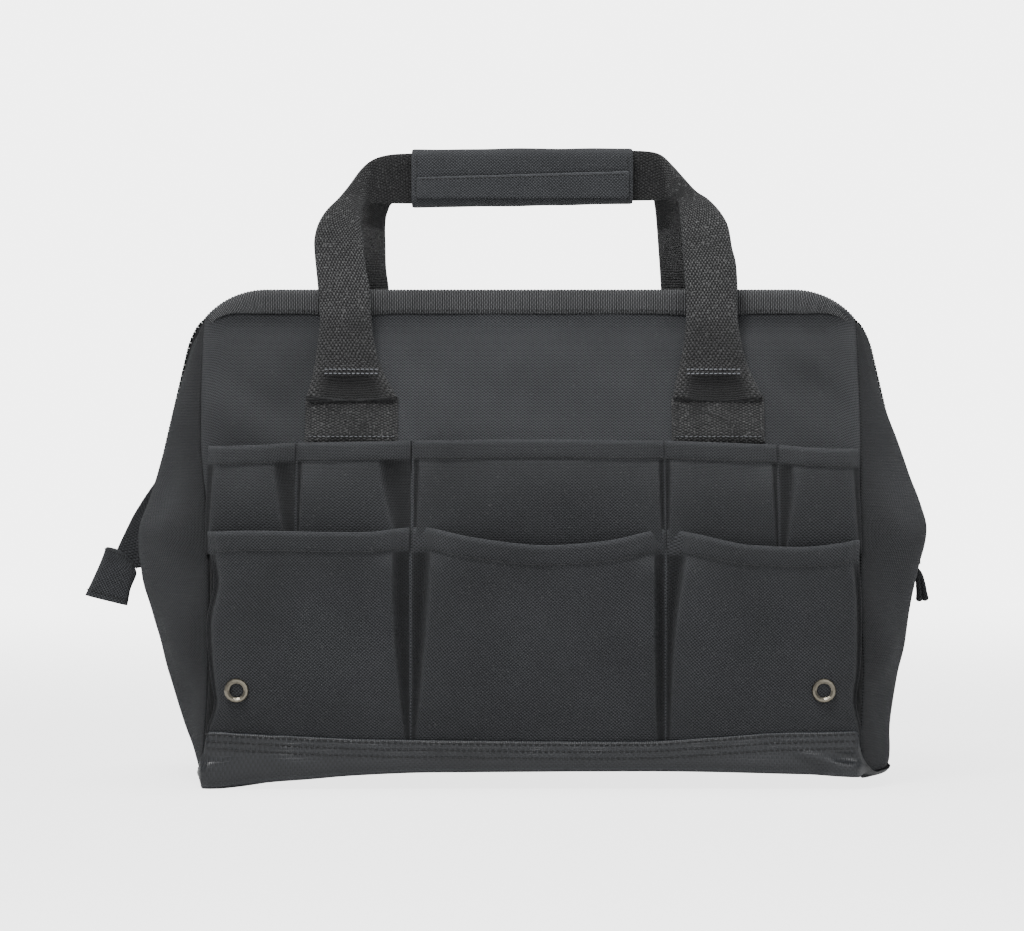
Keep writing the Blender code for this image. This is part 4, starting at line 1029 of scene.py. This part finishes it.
def zipHalf(side):
    line = evenly(wholeMouthLine(zipTape["foot"]), body["cell"])

    def place(column, row):
        position, along = line[column]
        onTop = zipOnTop(position)
        across = row / zipTape["rows"]
        width = zipTape["sideWidth"] + (zipTape["topWidth"] - zipTape["sideWidth"]) * onTop
        dip = 0.0012 * across + 0.0030 * onTop
        y = zipTape["gap"] + width * across
        return position + upFrom(along) * (zipTape["proud"] - dip) + Vector((0, side * y, 0))

    name = sideNames[side]
    obj = clothGrid(name + "ZipTape", len(line) - 1, zipTape["rows"], place,
                    lambda at: Vector((at.x, 0, max(at.z - 0.15, 0) * 3)))
    thicken(obj, zipTape["thickness"], tapeCloth)
    hangOn(obj)
    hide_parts(name + "_zip_tape")

    clearSelection()
    bpy.ops.mesh.primitive_cube_add(size=1)
    tooth = bpy.context.object
    bpy.ops.object.mode_set(mode="EDIT")
    bpy.ops.mesh.bevel(offset=0.16, segments=1, affect="EDGES")
    bpy.ops.object.mode_set(mode="OBJECT")
    places = []
    path = evenly(wholeMouthLine(zipTape["foot"]), zipTape["toothPitch"] / 2)
    for position, along in path[1 if side < 0 else 0::2]:              # the two sides take turns
        outward = upFrom(along)
        spot = position + outward * (0.0004 - 0.0034 * zipOnTop(position))
        spot.y += side * zipTape["toothY"]
        places.append(turnTo(spot, along, outward) @ Matrix.Diagonal((*zipTape["tooth"], 1)))
    teeth = copyAlong(tooth, name + "ZipTeeth", places)
    bpy.data.objects.remove(tooth)
    makeActive(teeth)
    bpy.ops.object.shade_smooth_by_angle(angle=math.radians(40))
    paint(teeth, toothPlastic)
    hangOn(teeth)


for side in (-1, 1):
    zipHalf(side)
print("zip done")


# handles

handle = {
    # outer and inner edge of the webbing seen from the front, from the grip's middle to the foot: x, z, x, z
    "left": [(-0.004, 0.3256, -0.004, 0.2998), (-0.030, 0.3256, -0.030, 0.2996),
             (-0.060, 0.3254, -0.060, 0.2993), (-0.0735, 0.3245, -0.0705, 0.2994),
             (-0.0815, 0.3218, -0.0790, 0.2996), (-0.0872, 0.3168, -0.0835, 0.2990),
             (-0.0935, 0.3080, -0.0858, 0.2962), (-0.0990, 0.3012, -0.0862, 0.2925),
             (-0.1045, 0.2962, -0.0862, 0.2885), (-0.1090, 0.2890, -0.0858, 0.2845),
             (-0.1110, 0.2813, -0.0853, 0.2795), (-0.1108, 0.2740, -0.0849, 0.2735),
             (-0.1101, 0.2665, -0.0842, 0.2665), (-0.1090, 0.2555, -0.0822, 0.2555),
             (-0.1080, 0.2410, -0.0812, 0.2410), (-0.1090, 0.2300, -0.0800, 0.2300),
             (-0.1103, 0.2200, -0.0778, 0.2200), (-0.1118, 0.2115, -0.0745, 0.2115),
             (-0.1138, 0.2045, -0.0705, 0.2045), (-0.1160, 0.1980, -0.0668, 0.1980)],
    "right": [(0.004, 0.3260, 0.004, 0.2998), (0.030, 0.3264, 0.030, 0.3003),
              (0.0538, 0.3268, 0.0538, 0.3008), (0.0658, 0.3254, 0.0640, 0.3010),
              (0.0720, 0.3205, 0.0705, 0.3016), (0.0797, 0.3120, 0.0745, 0.3032),
              (0.0853, 0.3058, 0.0758, 0.3010), (0.0900, 0.3027, 0.0764, 0.2975),
              (0.0942, 0.2991, 0.0768, 0.2935), (0.0981, 0.2947, 0.0772, 0.2890),
              (0.1015, 0.2890, 0.0776, 0.2840), (0.1030, 0.2830, 0.0780, 0.2790),
              (0.1040, 0.2760, 0.0784, 0.2740), (0.1059, 0.2695, 0.0788, 0.2690),
              (0.1068, 0.2556, 0.0797, 0.2556), (0.1068, 0.2410, 0.0800, 0.2410),
              (0.1085, 0.2300, 0.0790, 0.2300), (0.1108, 0.2200, 0.0775, 0.2200),
              (0.1140, 0.2115, 0.0755, 0.2115), (0.1175, 0.2045, 0.0738, 0.2045),
              (0.1205, 0.1980, 0.0730, 0.1980)],
    "gripY": {-1: 0.0085, 1: 0.0072}, "gripZ": 0.304, "pivotY": 0.0434, "pivotZ": 0.2109, "onWall": 0.0042,
    "thick": 0.0054, "gripThick": 0.0046, "step": 0.0026,
    # the section: along the width, through the thickness
    "section": [(-1, 0), (-0.97, 0.62), (-0.86, 0.98), (-0.5, 1.08), (0, 1.12), (0.5, 1.08), (0.86, 0.98),
                (0.97, 0.62), (1, 0), (0.97, -0.62), (0.86, -0.98), (0.5, -1.0), (0, -1.0), (-0.5, -1.0),
                (-0.86, -0.98), (-0.97, -0.62)],
    "stitchX": {-1: (-0.0925, 0.0950), 1: (-0.0810, 0.0810)}, "stitchZ": (0.2128, 0.2106),
    "stitchWide": 0.026,
}


def handleY(side, z):
    climb = min(1, (z - handle["pivotZ"]) / (handle["gripZ"] - handle["pivotZ"]))
    straight = handle["pivotY"] + (handle["gripY"][side] - handle["pivotY"]) * climb
    low = smoothShare((handle["pivotZ"] + 0.01 - z) / 0.014)
    return straight + (wallDepth(z) + handle["onWall"] - straight) * low


# fine steps between the measured pairs of edge points
def handleStations(side):
    rough = [(Vector((outerX, 0, outerZ)), Vector((innerX, 0, innerZ)))
             for outerX, outerZ, innerX, innerZ in handle["left"][::-1] + handle["right"]]
    stations = []
    for index in range(len(rough) - 1):
        before, first, second = rough[max(index - 1, 0)], rough[index], rough[index + 1]
        after = rough[min(index + 2, len(rough) - 1)]
        count = max(1, round(((first[0] + first[1]) - (second[0] + second[1])).length / 2 / handle["step"]))
        for t in (step / count for step in range(count)):
            stations.append([0.5 * (2 * b + (c - a) * t + (2 * a - 5 * b + 4 * c - d) * t ** 2
                                    + (3 * b - a - 3 * c + d) * t ** 3)
                             for a, b, c, d in zip(before, first, second, after)])
    stations.append(list(rough[-1]))
    if side < 0:
        # measured on the pockets' plane, so taken back along the camera's view to the strap's own
        eye = Vector((camera["place"][0], 0, camera["place"][2]))
        return [[eye + (spot - eye) * ((-camera["place"][1] - handleY(side, spot.z)) / camera["far"])
                 for spot in pair] for pair in stations]
    moved = []
    for outer, inner in stations:
        middle = (outer + inner) / 2
        inward = 0.0080 + 0.06 * (middle.z - 0.256) if middle.x < 0 else -0.0102
        outerShift = inward * smoothShare((0.318 - middle.z) / 0.02)
        innerShift = inward * smoothShare((0.322 - middle.z) / 0.012)
        hidden = 0.0026 * smoothShare((middle.z - 0.302) / 0.006)      # the wrap hides this edge
        moved.append([outer + Vector((outerShift, 0, 0)), inner + Vector((innerShift, 0, hidden))])
    return moved


# how far a point is past the fold where the strap turns into the grip's doubled webbing
def pastFold(spot):
    if spot.x < 0:
        return spot.x + 0.0845 + (0.3125 - spot.z) * 0.16
    return -(spot.x - 0.0715 - (0.3125 - spot.z) * 0.20)


def webbingLoop(side):
    stations = handleStations(side)
    section = handle["section"]
    count = len(section)

    def place(column, row):
        outer, inner = stations[column]
        middle, half = (outer + inner) / 2, (outer - inner) / 2
        across, through = section[row % count]
        spot = middle + half * across
        onGrip = smoothShare((middle.z - 0.300) / 0.010)
        lift = through * (handle["thick"] + (handle["gripThick"] - handle["thick"]) * onGrip) / 2
        if through > 0:
            atFoot = smoothShare((0.2115 - middle.z) / 0.005)
            hollow = atFoot * (1 - min(1, abs(across) / 0.66) ** 4) * 0.0042
            lift += (1 - abs(across) ** 3 * 0.35) * (1 - onGrip) * 0.0009 - hollow
        if through > 0 and spot.z > 0.296:
            past = pastFold(spot)
            lift -= (0.0016 * smoothShare((past + 0.0003) / 0.0006)
                     + 0.0008 * math.exp(-((past - 0.001) / 0.0014) ** 2))
        wave = cloudy(spot, 0.02, 6.1) * 0.0005
        normal = flapNormal(spot.z) if middle.z < 0.215 else Vector((0, 1, 0.35 * (1 - onGrip))).normalized()
        return Vector((spot.x, side * (handleY(side, spot.z) + (lift + wave) * normal.y),
                       spot.z + lift * normal.z * (1 - onGrip)))

    # painted shade: darker past the fold into the grip and in the foot's hollow, and darker towards the foot
    def hollowShade(column, row):
        outer, inner = stations[column]
        across, through = section[row % count]
        middle = (outer + inner) / 2
        if middle.z > 0.290:
            return 1.25 * smoothShare((pastFold(middle + (outer - inner) / 2 * across) + 0.0003) / 0.0006)
        shade = 0.9 * smoothShare((0.252 - middle.z) / 0.022)
        if through >= 0.5:
            shade += 1.4 * smoothShare((0.2112 - middle.z) / 0.003) * smoothShare((0.78 - abs(across)) / 0.2)
        return shade

    # painted light: the rear strap's inner side, in the front strap's shadow, is made paler
    def paintedLightInside(column, row):
        return 0.75 if side > 0 and section[row % count][1] < 0.5 else 0.0

    name = sideNames[side]
    obj = clothGrid(name + "Handle", len(stations) - 1, count, place, joined=True,
                    marks={"crease": hollowShade, "wear": paintedLightInside})
    soften(obj, webbing)
    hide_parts(name + "_handle", name + "_handle_foot_left", name + "_handle_foot_right")
    items = [obj]
    for end, centre in zip((-1, 1), handle["stitchX"][side]):
        for number, z in enumerate(handle["stitchZ"]):
            y = side * (handleY(side, z) + handle["thick"] / 2 + 0.0013)
            xs = [centre + (step / 12 - 0.5) * handle["stitchWide"] for step in range(13)]
            points = [Vector((x, y, z + 0.0016)) for x in xs]
            items.append(stitchRow(f"{name}Strap{endNames[end].capitalize()}Stitches{number}", points,
                                   Vector((0, side, 0.4)), 0.0024, 0.0019, 0.0006, paleThread))
    for item in items:
        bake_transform(item)


for side in (-1, 1):
    webbingLoop(side)
print("handles done")


# stitched patches at the strap feet

footPatch = {"low": 0.1755, "high": 0.2005, "halfWidth": 0.0247, "thick": 0.0024, "cloth": 0.0022,
             "columns": 16, "rows": 10, "centres": {-1: (-0.0921, 0.0972), 1: (-0.0815, 0.0845)},
             # the foot's row of pale stitches, the sides, and the cross
             "seams": [((0.07, 0.12), (0.93, 0.12)), ((0.07, 0.12), (0.07, 0.90)),
                       ((0.93, 0.12), (0.93, 0.90)), ((0.07, 0.90), (0.93, 0.12)),
                       ((0.07, 0.12), (0.93, 0.90))]}


def strapFoot(side, centre, label):
    columns, rows = footPatch["columns"], footPatch["rows"]
    wide, tall = 2 * footPatch["halfWidth"], footPatch["high"] - footPatch["low"]

    def surface(across, up, extra=0.0):
        x = centre + (across - 0.5) * wide
        z = footPatch["low"] + tall * up
        plump = (smoothShare(min(across, 1 - across) * wide / 0.0025)
                 * smoothShare(up * tall / 0.0022 + 0.1))
        normal = flapNormal(z)
        lift = footPatch["thick"] * (0.35 + 0.65 * plump) + extra
        return Vector((x, side * (wallDepth(z) + slack(x, z, side) + lift * normal.y), z + lift * normal.z))

    # painted shade across the patch's middle
    def shade(column, row):
        return 0.6 * smoothShare((0.30 - abs(column / columns - 0.48)) / 0.08)

    obj = clothGrid(label, columns, rows, lambda column, row: surface(column / columns, row / rows),
                    lambda at: Vector((0, side, 0.3)), marks={"crease": shade})
    thicken(obj, footPatch["cloth"], patchWebbing)
    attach(obj, sideNames[side] + "_mouth")
    for number, (start, stop) in enumerate(footPatch["seams"]):
        row = stitchRow(f"{label}Stitches{number}", seamOn(surface, start, stop, 16), Vector((0, side, 0.5)),
                        length=0.0016, width=0.0005, material=thread if number else paleThread)
        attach(row, sideNames[side] + "_mouth")


for side in (-1, 1):
    for end, centre in zip((-1, 1), footPatch["centres"][side]):
        strapFoot(side, centre, f"{sideNames[side]}Foot{endNames[end].capitalize()}")
print("strap feet done")


# grip wrap and its leaf

wrap = {"left": -0.0622, "right": 0.0544, "low": 0.2988, "high": 0.3296, "front": 0.0152, "back": 0.0010,
        "corner": 0.0042, "columns": 34, "step": 0.0035, "endTuck": 0.00021, "stitchesIn": 0.0032,
        "topTilt": 0.005, "footTilt": 0.017, "middleZ": 0.313}


# the wrap's section, from its upper front corner round
def wrapLoop():
    loop = []
    corner = wrap["corner"]
    lowY, highY = corner - wrap["front"], -wrap["back"] - corner
    lowZ, highZ = wrap["low"] + corner, wrap["high"] - corner
    for y, z, start in ((highY, highZ, 0), (lowY, highZ, 90), (lowY, lowZ, 180), (highY, lowZ, 270)):
        for angle in (math.radians(start + 90 * step / 4) for step in range(5)):
            loop.append(Vector((0, y + corner * math.cos(angle), z + corner * math.sin(angle))))
    return [spot for spot, along in evenly(loop + [loop[0]], wrap["step"])][:-1]


def gripSleeve():
    loop = wrapLoop()
    left, right, columns = wrap["left"], wrap["right"], wrap["columns"]
    middle = Vector((0, -(wrap["front"] + wrap["back"]) / 2, (wrap["low"] + wrap["high"]) / 2))
    xs = [left + (right - left) * column / columns for column in range(columns + 1)]
    # columns close together keep the ends square
    xs[:2] = [left + 0.0002, left + 0.0008]
    xs[-2:] = [right - 0.0008, right - 0.0002]

    def place(column, row):
        spot, x = loop[row % len(loop)], xs[column]
        tuck = wrap["endTuck"] if column in (0, columns) else 0
        wave = cloudy((x, spot.y * 2, spot.z * 2), 0.020, 8.8) * 0.0005
        tilt = (x - left) * wrap["topTilt" if spot.z > wrap["middleZ"] else "footTilt"]
        return Vector((x, spot.y, spot.z + tilt)) + (spot - middle).normalized() * (wave - tuck)

    obj = clothGrid("gripWrap", columns, len(loop), place, joined=True)
    soften(obj, wrapCloth)
    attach(obj, "front_grip")
    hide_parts("grip_wrap")
    for end, x in ((-1, left + wrap["stitchesIn"]), (1, right - wrap["stitchesIn"])):
        points = [Vector((x, -wrap["front"] - 0.0003, z / 1000)) for z in range(303, 326, 2)]
        row = stitchRow("wrapStitches" + endNames[end].capitalize(), points, Vector((0, -1, 0)))
        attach(row, "front_grip")


leaf = {"left": -0.0596, "right": 0.0524, "foot": 0.3036, "top": 0.3166, "tilt": 0.029, "out": 0.0167,
        "thick": 0.0014, "columns": 28, "rows": 8}


def leafPlace(column, row):
    x = leaf["left"] + (leaf["right"] - leaf["left"]) * column / leaf["columns"]
    top = leaf["top"] + (x + 0.0036) * leaf["tilt"]
    z = leaf["foot"] + (top - leaf["foot"]) * row / leaf["rows"]
    edge = smoothShare(min(column, leaf["columns"] - column) / 2) * smoothShare((leaf["rows"] - row) / 1.5)
    return Vector((x, -(leaf["out"] + 0.0009 * edge + cloudy((x, 0, z), 0.016, 1.4) * 0.0005), z))


gripSleeve()
# a painted highlight along the leaf's top edge, where it catches the light
leafObj = clothGrid("gripLeaf", leaf["columns"], leaf["rows"], leafPlace, lambda at: Vector((0, -1, 0)),
                    marks={"wear": lambda column, row: 0.8 if row == leaf["rows"] else 0.0})
thicken(leafObj, leaf["thick"], wrapCloth)
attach(leafObj, "grip_leaf")
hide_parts("grip_flap")
leafLine = [leafPlace(column, leaf["rows"] - 1) + Vector((0, -0.0002, 0))
            for column in range(1, leaf["columns"])]
leafStitches = stitchRow("leafStitches", leafLine, Vector((0, -1, 0)))
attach(leafStitches, "grip_leaf")
print("wrap done")


# hips: patches, tail, pull

hip = {"x": 0.2000, "wide": 0.0236, "low": 0.1062, "tall": 0.0336, "rise": 0.0004, "cloth": 0.0011,
       "columns": 10, "rows": 12, "seam": [(0.1, 0.08), (0.9, 0.08), (0.9, 0.92), (0.1, 0.92), (0.1, 0.08)]}


def hipPatch(end):
    def surface(across, up, extra=0.0):
        edge = min(min(across, 1 - across) * hip["wide"], min(up, 1 - up) * hip["tall"])
        x = hip["x"] + hip["rise"] * smoothShare(edge / 0.002) + extra
        return Vector((end * x, (across - 0.5) * hip["wide"], hip["low"] + hip["tall"] * up))

    label = endNames[end] + "HipPatch"
    obj = clothGrid(label, hip["columns"], hip["rows"],
                    lambda column, row: surface(column / hip["columns"], row / hip["rows"]),
                    lambda at: Vector((end, 0, 0)))
    thicken(obj, hip["cloth"], webbing)
    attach(obj, "root")
    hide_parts("hinge_patch_" + endNames[end])
    points = []
    for start, stop in zip(hip["seam"], hip["seam"][1:]):
        points += seamOn(surface, start, stop, 8)
    row = stitchRow(label + "Stitches", points, Vector((end, 0, 0)))
    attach(row, "root")


for end in (-1, 1):
    hipPatch(end)

# the end of the zip's tape, folded on itself, that hangs out at the left, and the tab sewn round its end:
# outer and inner edge, as (x, z) pairs
tail = {
    "strap": [((-0.1915, 0.1632), (-0.1885, 0.1618)), ((-0.1975, 0.1550), (-0.1900, 0.1530)),
              ((-0.2035, 0.1462), (-0.1965, 0.1455)), ((-0.2090, 0.1372), (-0.2013, 0.1392)),
              ((-0.2135, 0.1286), (-0.2014, 0.1270)), ((-0.2175, 0.1208), (-0.2013, 0.1165)),
              ((-0.2195, 0.1150), (-0.2040, 0.1080))],
    "tab": [((-0.2231, 0.1218), (-0.2123, 0.1183)), ((-0.2252, 0.1162), (-0.2075, 0.1118)),
            ((-0.2277, 0.1106), (-0.2054, 0.1067)), ((-0.2312, 0.1030), (-0.2090, 0.0985)),
            ((-0.2344, 0.0966), (-0.2104, 0.0904)), ((-0.2350, 0.0955), (-0.2106, 0.0895))],
    "strapHalf": 0.0009, "tabHalf": 0.0017,
    "seams": [((-0.2228, 0.1198), (-0.2130, 0.1166), (-0.2070, 0.1100)),
              ((-0.2322, 0.0985), (-0.2124, 0.0930))],
}


def foldedPiece(name, pairs, half, across, material):
    columns, count = (len(pairs) - 1) * 3, 2 * across

    def place(column, row):
        index = min(column // 3, len(pairs) - 2)
        share = column / 3 - index
        outer, inner = (Vector(first).lerp(Vector(second), share)
                        for first, second in zip(pairs[index], pairs[index + 1]))
        turn = row % count
        along = min(turn, count - turn) / across
        flat = outer.lerp(inner, along)
        thick = half * (0.25 if along in (0, 1) else 1.0) * (0.45 if column in (0, columns) else 1.0)
        wave = cloudy((flat.x, 0, flat.y), 0.012, 12.5) * 0.0004
        return Vector((flat.x, (-thick if turn <= across else thick) + wave, flat.y))

    obj = clothGrid(name, columns, count, place, joined=True)
    soften(obj, material)
    return obj


tailStrap = foldedPiece("zipTail", tail["strap"], tail["strapHalf"], 6, pocketCloth)
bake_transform(tailStrap)
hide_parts("zip_tail")
tailTab = foldedPiece("zipTailTab", tail["tab"], tail["tabHalf"], 8, charcoal)
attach(tailTab, "tail")
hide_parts("zip_tail_tab")
for side in (-1, 1):
    for number, seam in enumerate(tail["seams"]):
        points = [Vector((x, side * (tail["tabHalf"] + 0.0002), z)) for x, z in seam]
        tabStitches = stitchRow(f"{sideNames[side]}TabStitches{number}", points, Vector((0, side, 0)))
        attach(tabStitches, "tail")

# the slider's pull: two plies of coated cord, spread at their ends
pull = {
    "plies": {"Inner": [(0.2038, 0.1107), (0.2039, 0.1085), (0.2044, 0.1055), (0.2047, 0.1000),
                        (0.2050, 0.0945), (0.2051, 0.0920)],
              "Outer": [(0.2038, 0.1107), (0.2042, 0.1085), (0.2058, 0.1050), (0.2071, 0.1000),
                        (0.2080, 0.0945), (0.2083, 0.0923)]},
    "halfWide": 0.0023, "halfThick": 0.0018, "step": 0.0012, "rows": 12,
    "thinEnd": (0.28, 0.40, 0.65), "tip": 0.45,                        # thin where it swings under the slider
}


def pullPly(label, line):
    points = [spot for spot, along in evenly([Vector((x, 0, z)) for x, z in line], pull["step"])]
    columns = len(points) - 1

    def plumpness(column):
        if column < len(pull["thinEnd"]):
            return pull["thinEnd"][column]
        if column == columns:
            return pull["tip"]
        return 1.25 - 0.35 * smoothShare((columns - column) / columns / 0.25)

    def place(column, row):
        angle = 2 * math.pi * (row % pull["rows"]) / pull["rows"]
        plump = plumpness(column)
        out = upFrom((points[min(column + 1, columns)] - points[max(column - 1, 0)]).normalized())
        return (points[column] + out * pull["halfThick"] * plump * math.cos(angle)
                + Vector((0, pull["halfWide"] * plump * math.sin(angle), 0)))

    obj = clothGrid("pull" + label, columns, pull["rows"], place, joined=True)
    soften(obj, pocketCloth)
    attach(obj, "pull")
    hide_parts("zip_pull")


for label, line in pull["plies"].items():
    pullPly(label, line)

# the CAD's own materials, and what the nodes that still show get in their place
finishes = {"frame_steel": steel, "pin_steel": steel, "grommet_nickel": nickel, "black_metal": blackMetal,
            "base_board": boardCloth, "charcoal_cloth": charcoal, "black_webbing": webbing,
            "coated_cloth": coated, "zip_tape": tapeCloth}
for name, obj in frame["nodes"].items():
    for index, slot in enumerate(obj.material_slots):
        if slot.material and slot.material.name.split(".")[0] in finishes:
            obj.data.materials[index] = finishes[slot.material.name.split(".")[0]]
print("hips done")


# stage, light, camera

stage = {"backdrop": 5.0, "nearGlow": 0.55, "nearEdge": 0.3, "farEdge": 2.2,
         "surround": 0.46, "surroundTone": (0.95, 0.97, 1.0, 1), "floorTone": (0.86, 0.86, 0.86, 1)}


# shows the second shader to the camera, by share
def forCamera(tree, share, first, second, output):
    mixed = nodeIn(tree, "ShaderNodeMixShader", (250, 0), {0: share, 1: first, 2: second})
    tree.links.new(mixed.outputs[0], tree.nodes[output].inputs["Surface"])


clearSelection()
bpy.ops.mesh.primitive_plane_add(size=60, location=(0, 0, 0))
floor = bpy.context.object
floor.name = "floor"
floorMaterial, floorTree, floorShader = newMaterial("paleFloor")
setInputs(floorTree, floorShader, {"Base Color": stage["floorTone"], "Roughness": 0.9})
# pale near the bag, and as white as the backdrop further off
floorGlow = nodeIn(floorTree, "ShaderNodeEmission", (0, -400), {"Strength": stage["backdrop"]})
floorPlace = nodeIn(floorTree, "ShaderNodeTexCoord", (-900, -200)).outputs["Object"]
floorFar = nodeIn(floorTree, "ShaderNodeVectorMath", (-700, -200), {0: floorPlace}, operation="LENGTH")
floorFade = nodeIn(floorTree, "ShaderNodeMapRange", (-500, -200), interpolation_type="SMOOTHSTEP")
setInputs(floorTree, floorFade, {"Value": floorFar.outputs["Value"], "From Min": stage["nearEdge"],
                                 "From Max": stage["farEdge"], "To Min": stage["nearGlow"]})
floorSeen = nodeIn(floorTree, "ShaderNodeLightPath", (-500, 300)).outputs["Is Camera Ray"]
forCamera(floorTree, mathIn(floorTree, "MULTIPLY", (-250, 100), floorFade.outputs[0], floorSeen),
          floorShader.outputs[0], floorGlow.outputs[0], "Material Output")
paint(floor, floorMaterial)

world = bpy.data.worlds.new("studio")
bpy.context.scene.world = world
world.use_nodes = True
worldTree = world.node_tree
surround = worldTree.nodes["Background"]
setInputs(worldTree, surround, {"Color": stage["surroundTone"], "Strength": stage["surround"]})
backdrop = nodeIn(worldTree, "ShaderNodeBackground", (0, -200),
                  {"Color": (1, 1, 1, 1), "Strength": stage["backdrop"]})
seen = nodeIn(worldTree, "ShaderNodeLightPath", (0, 300)).outputs["Is Camera Ray"]
forCamera(worldTree, seen, surround.outputs[0], backdrop.outputs[0], "World Output")


def aimed(place, towards):
    return (Vector(towards) - Vector(place)).to_track_quat("-Z", "Y").to_euler()


for name, place, towards, size, power in (("keyLight", (-0.5, -1.5, 2.2), (0, 0, 0.16), 0.9, 72),
                                          ("fillLight", (0.9, -2.6, 0.9), (0, 0, 0.15), 1.6, 15),
                                          ("topLight", (0.1, 0.4, 2.4), (0, 0, 0.15), 1.4, 42)):
    clearSelection()
    bpy.ops.object.light_add(type="AREA", location=place)
    lamp = bpy.context.object
    lamp.name = name
    lamp.data.size = size
    lamp.data.energy = power
    lamp.rotation_euler = aimed(place, towards)

clearSelection()
bpy.ops.object.camera_add(location=camera["place"])
eyeObj = bpy.context.object
eyeObj.name = "camera"
eyeObj.data.lens = 36 * camera["far"] / camera["field"]
eyeObj.data.sensor_width = 36
eyeObj.data.dof.use_dof = False
eyeObj.rotation_euler = aimed(camera["place"], camera["towards"])
bpy.context.scene.camera = eyeObj

bpy.data.objects.remove(stitchModel)
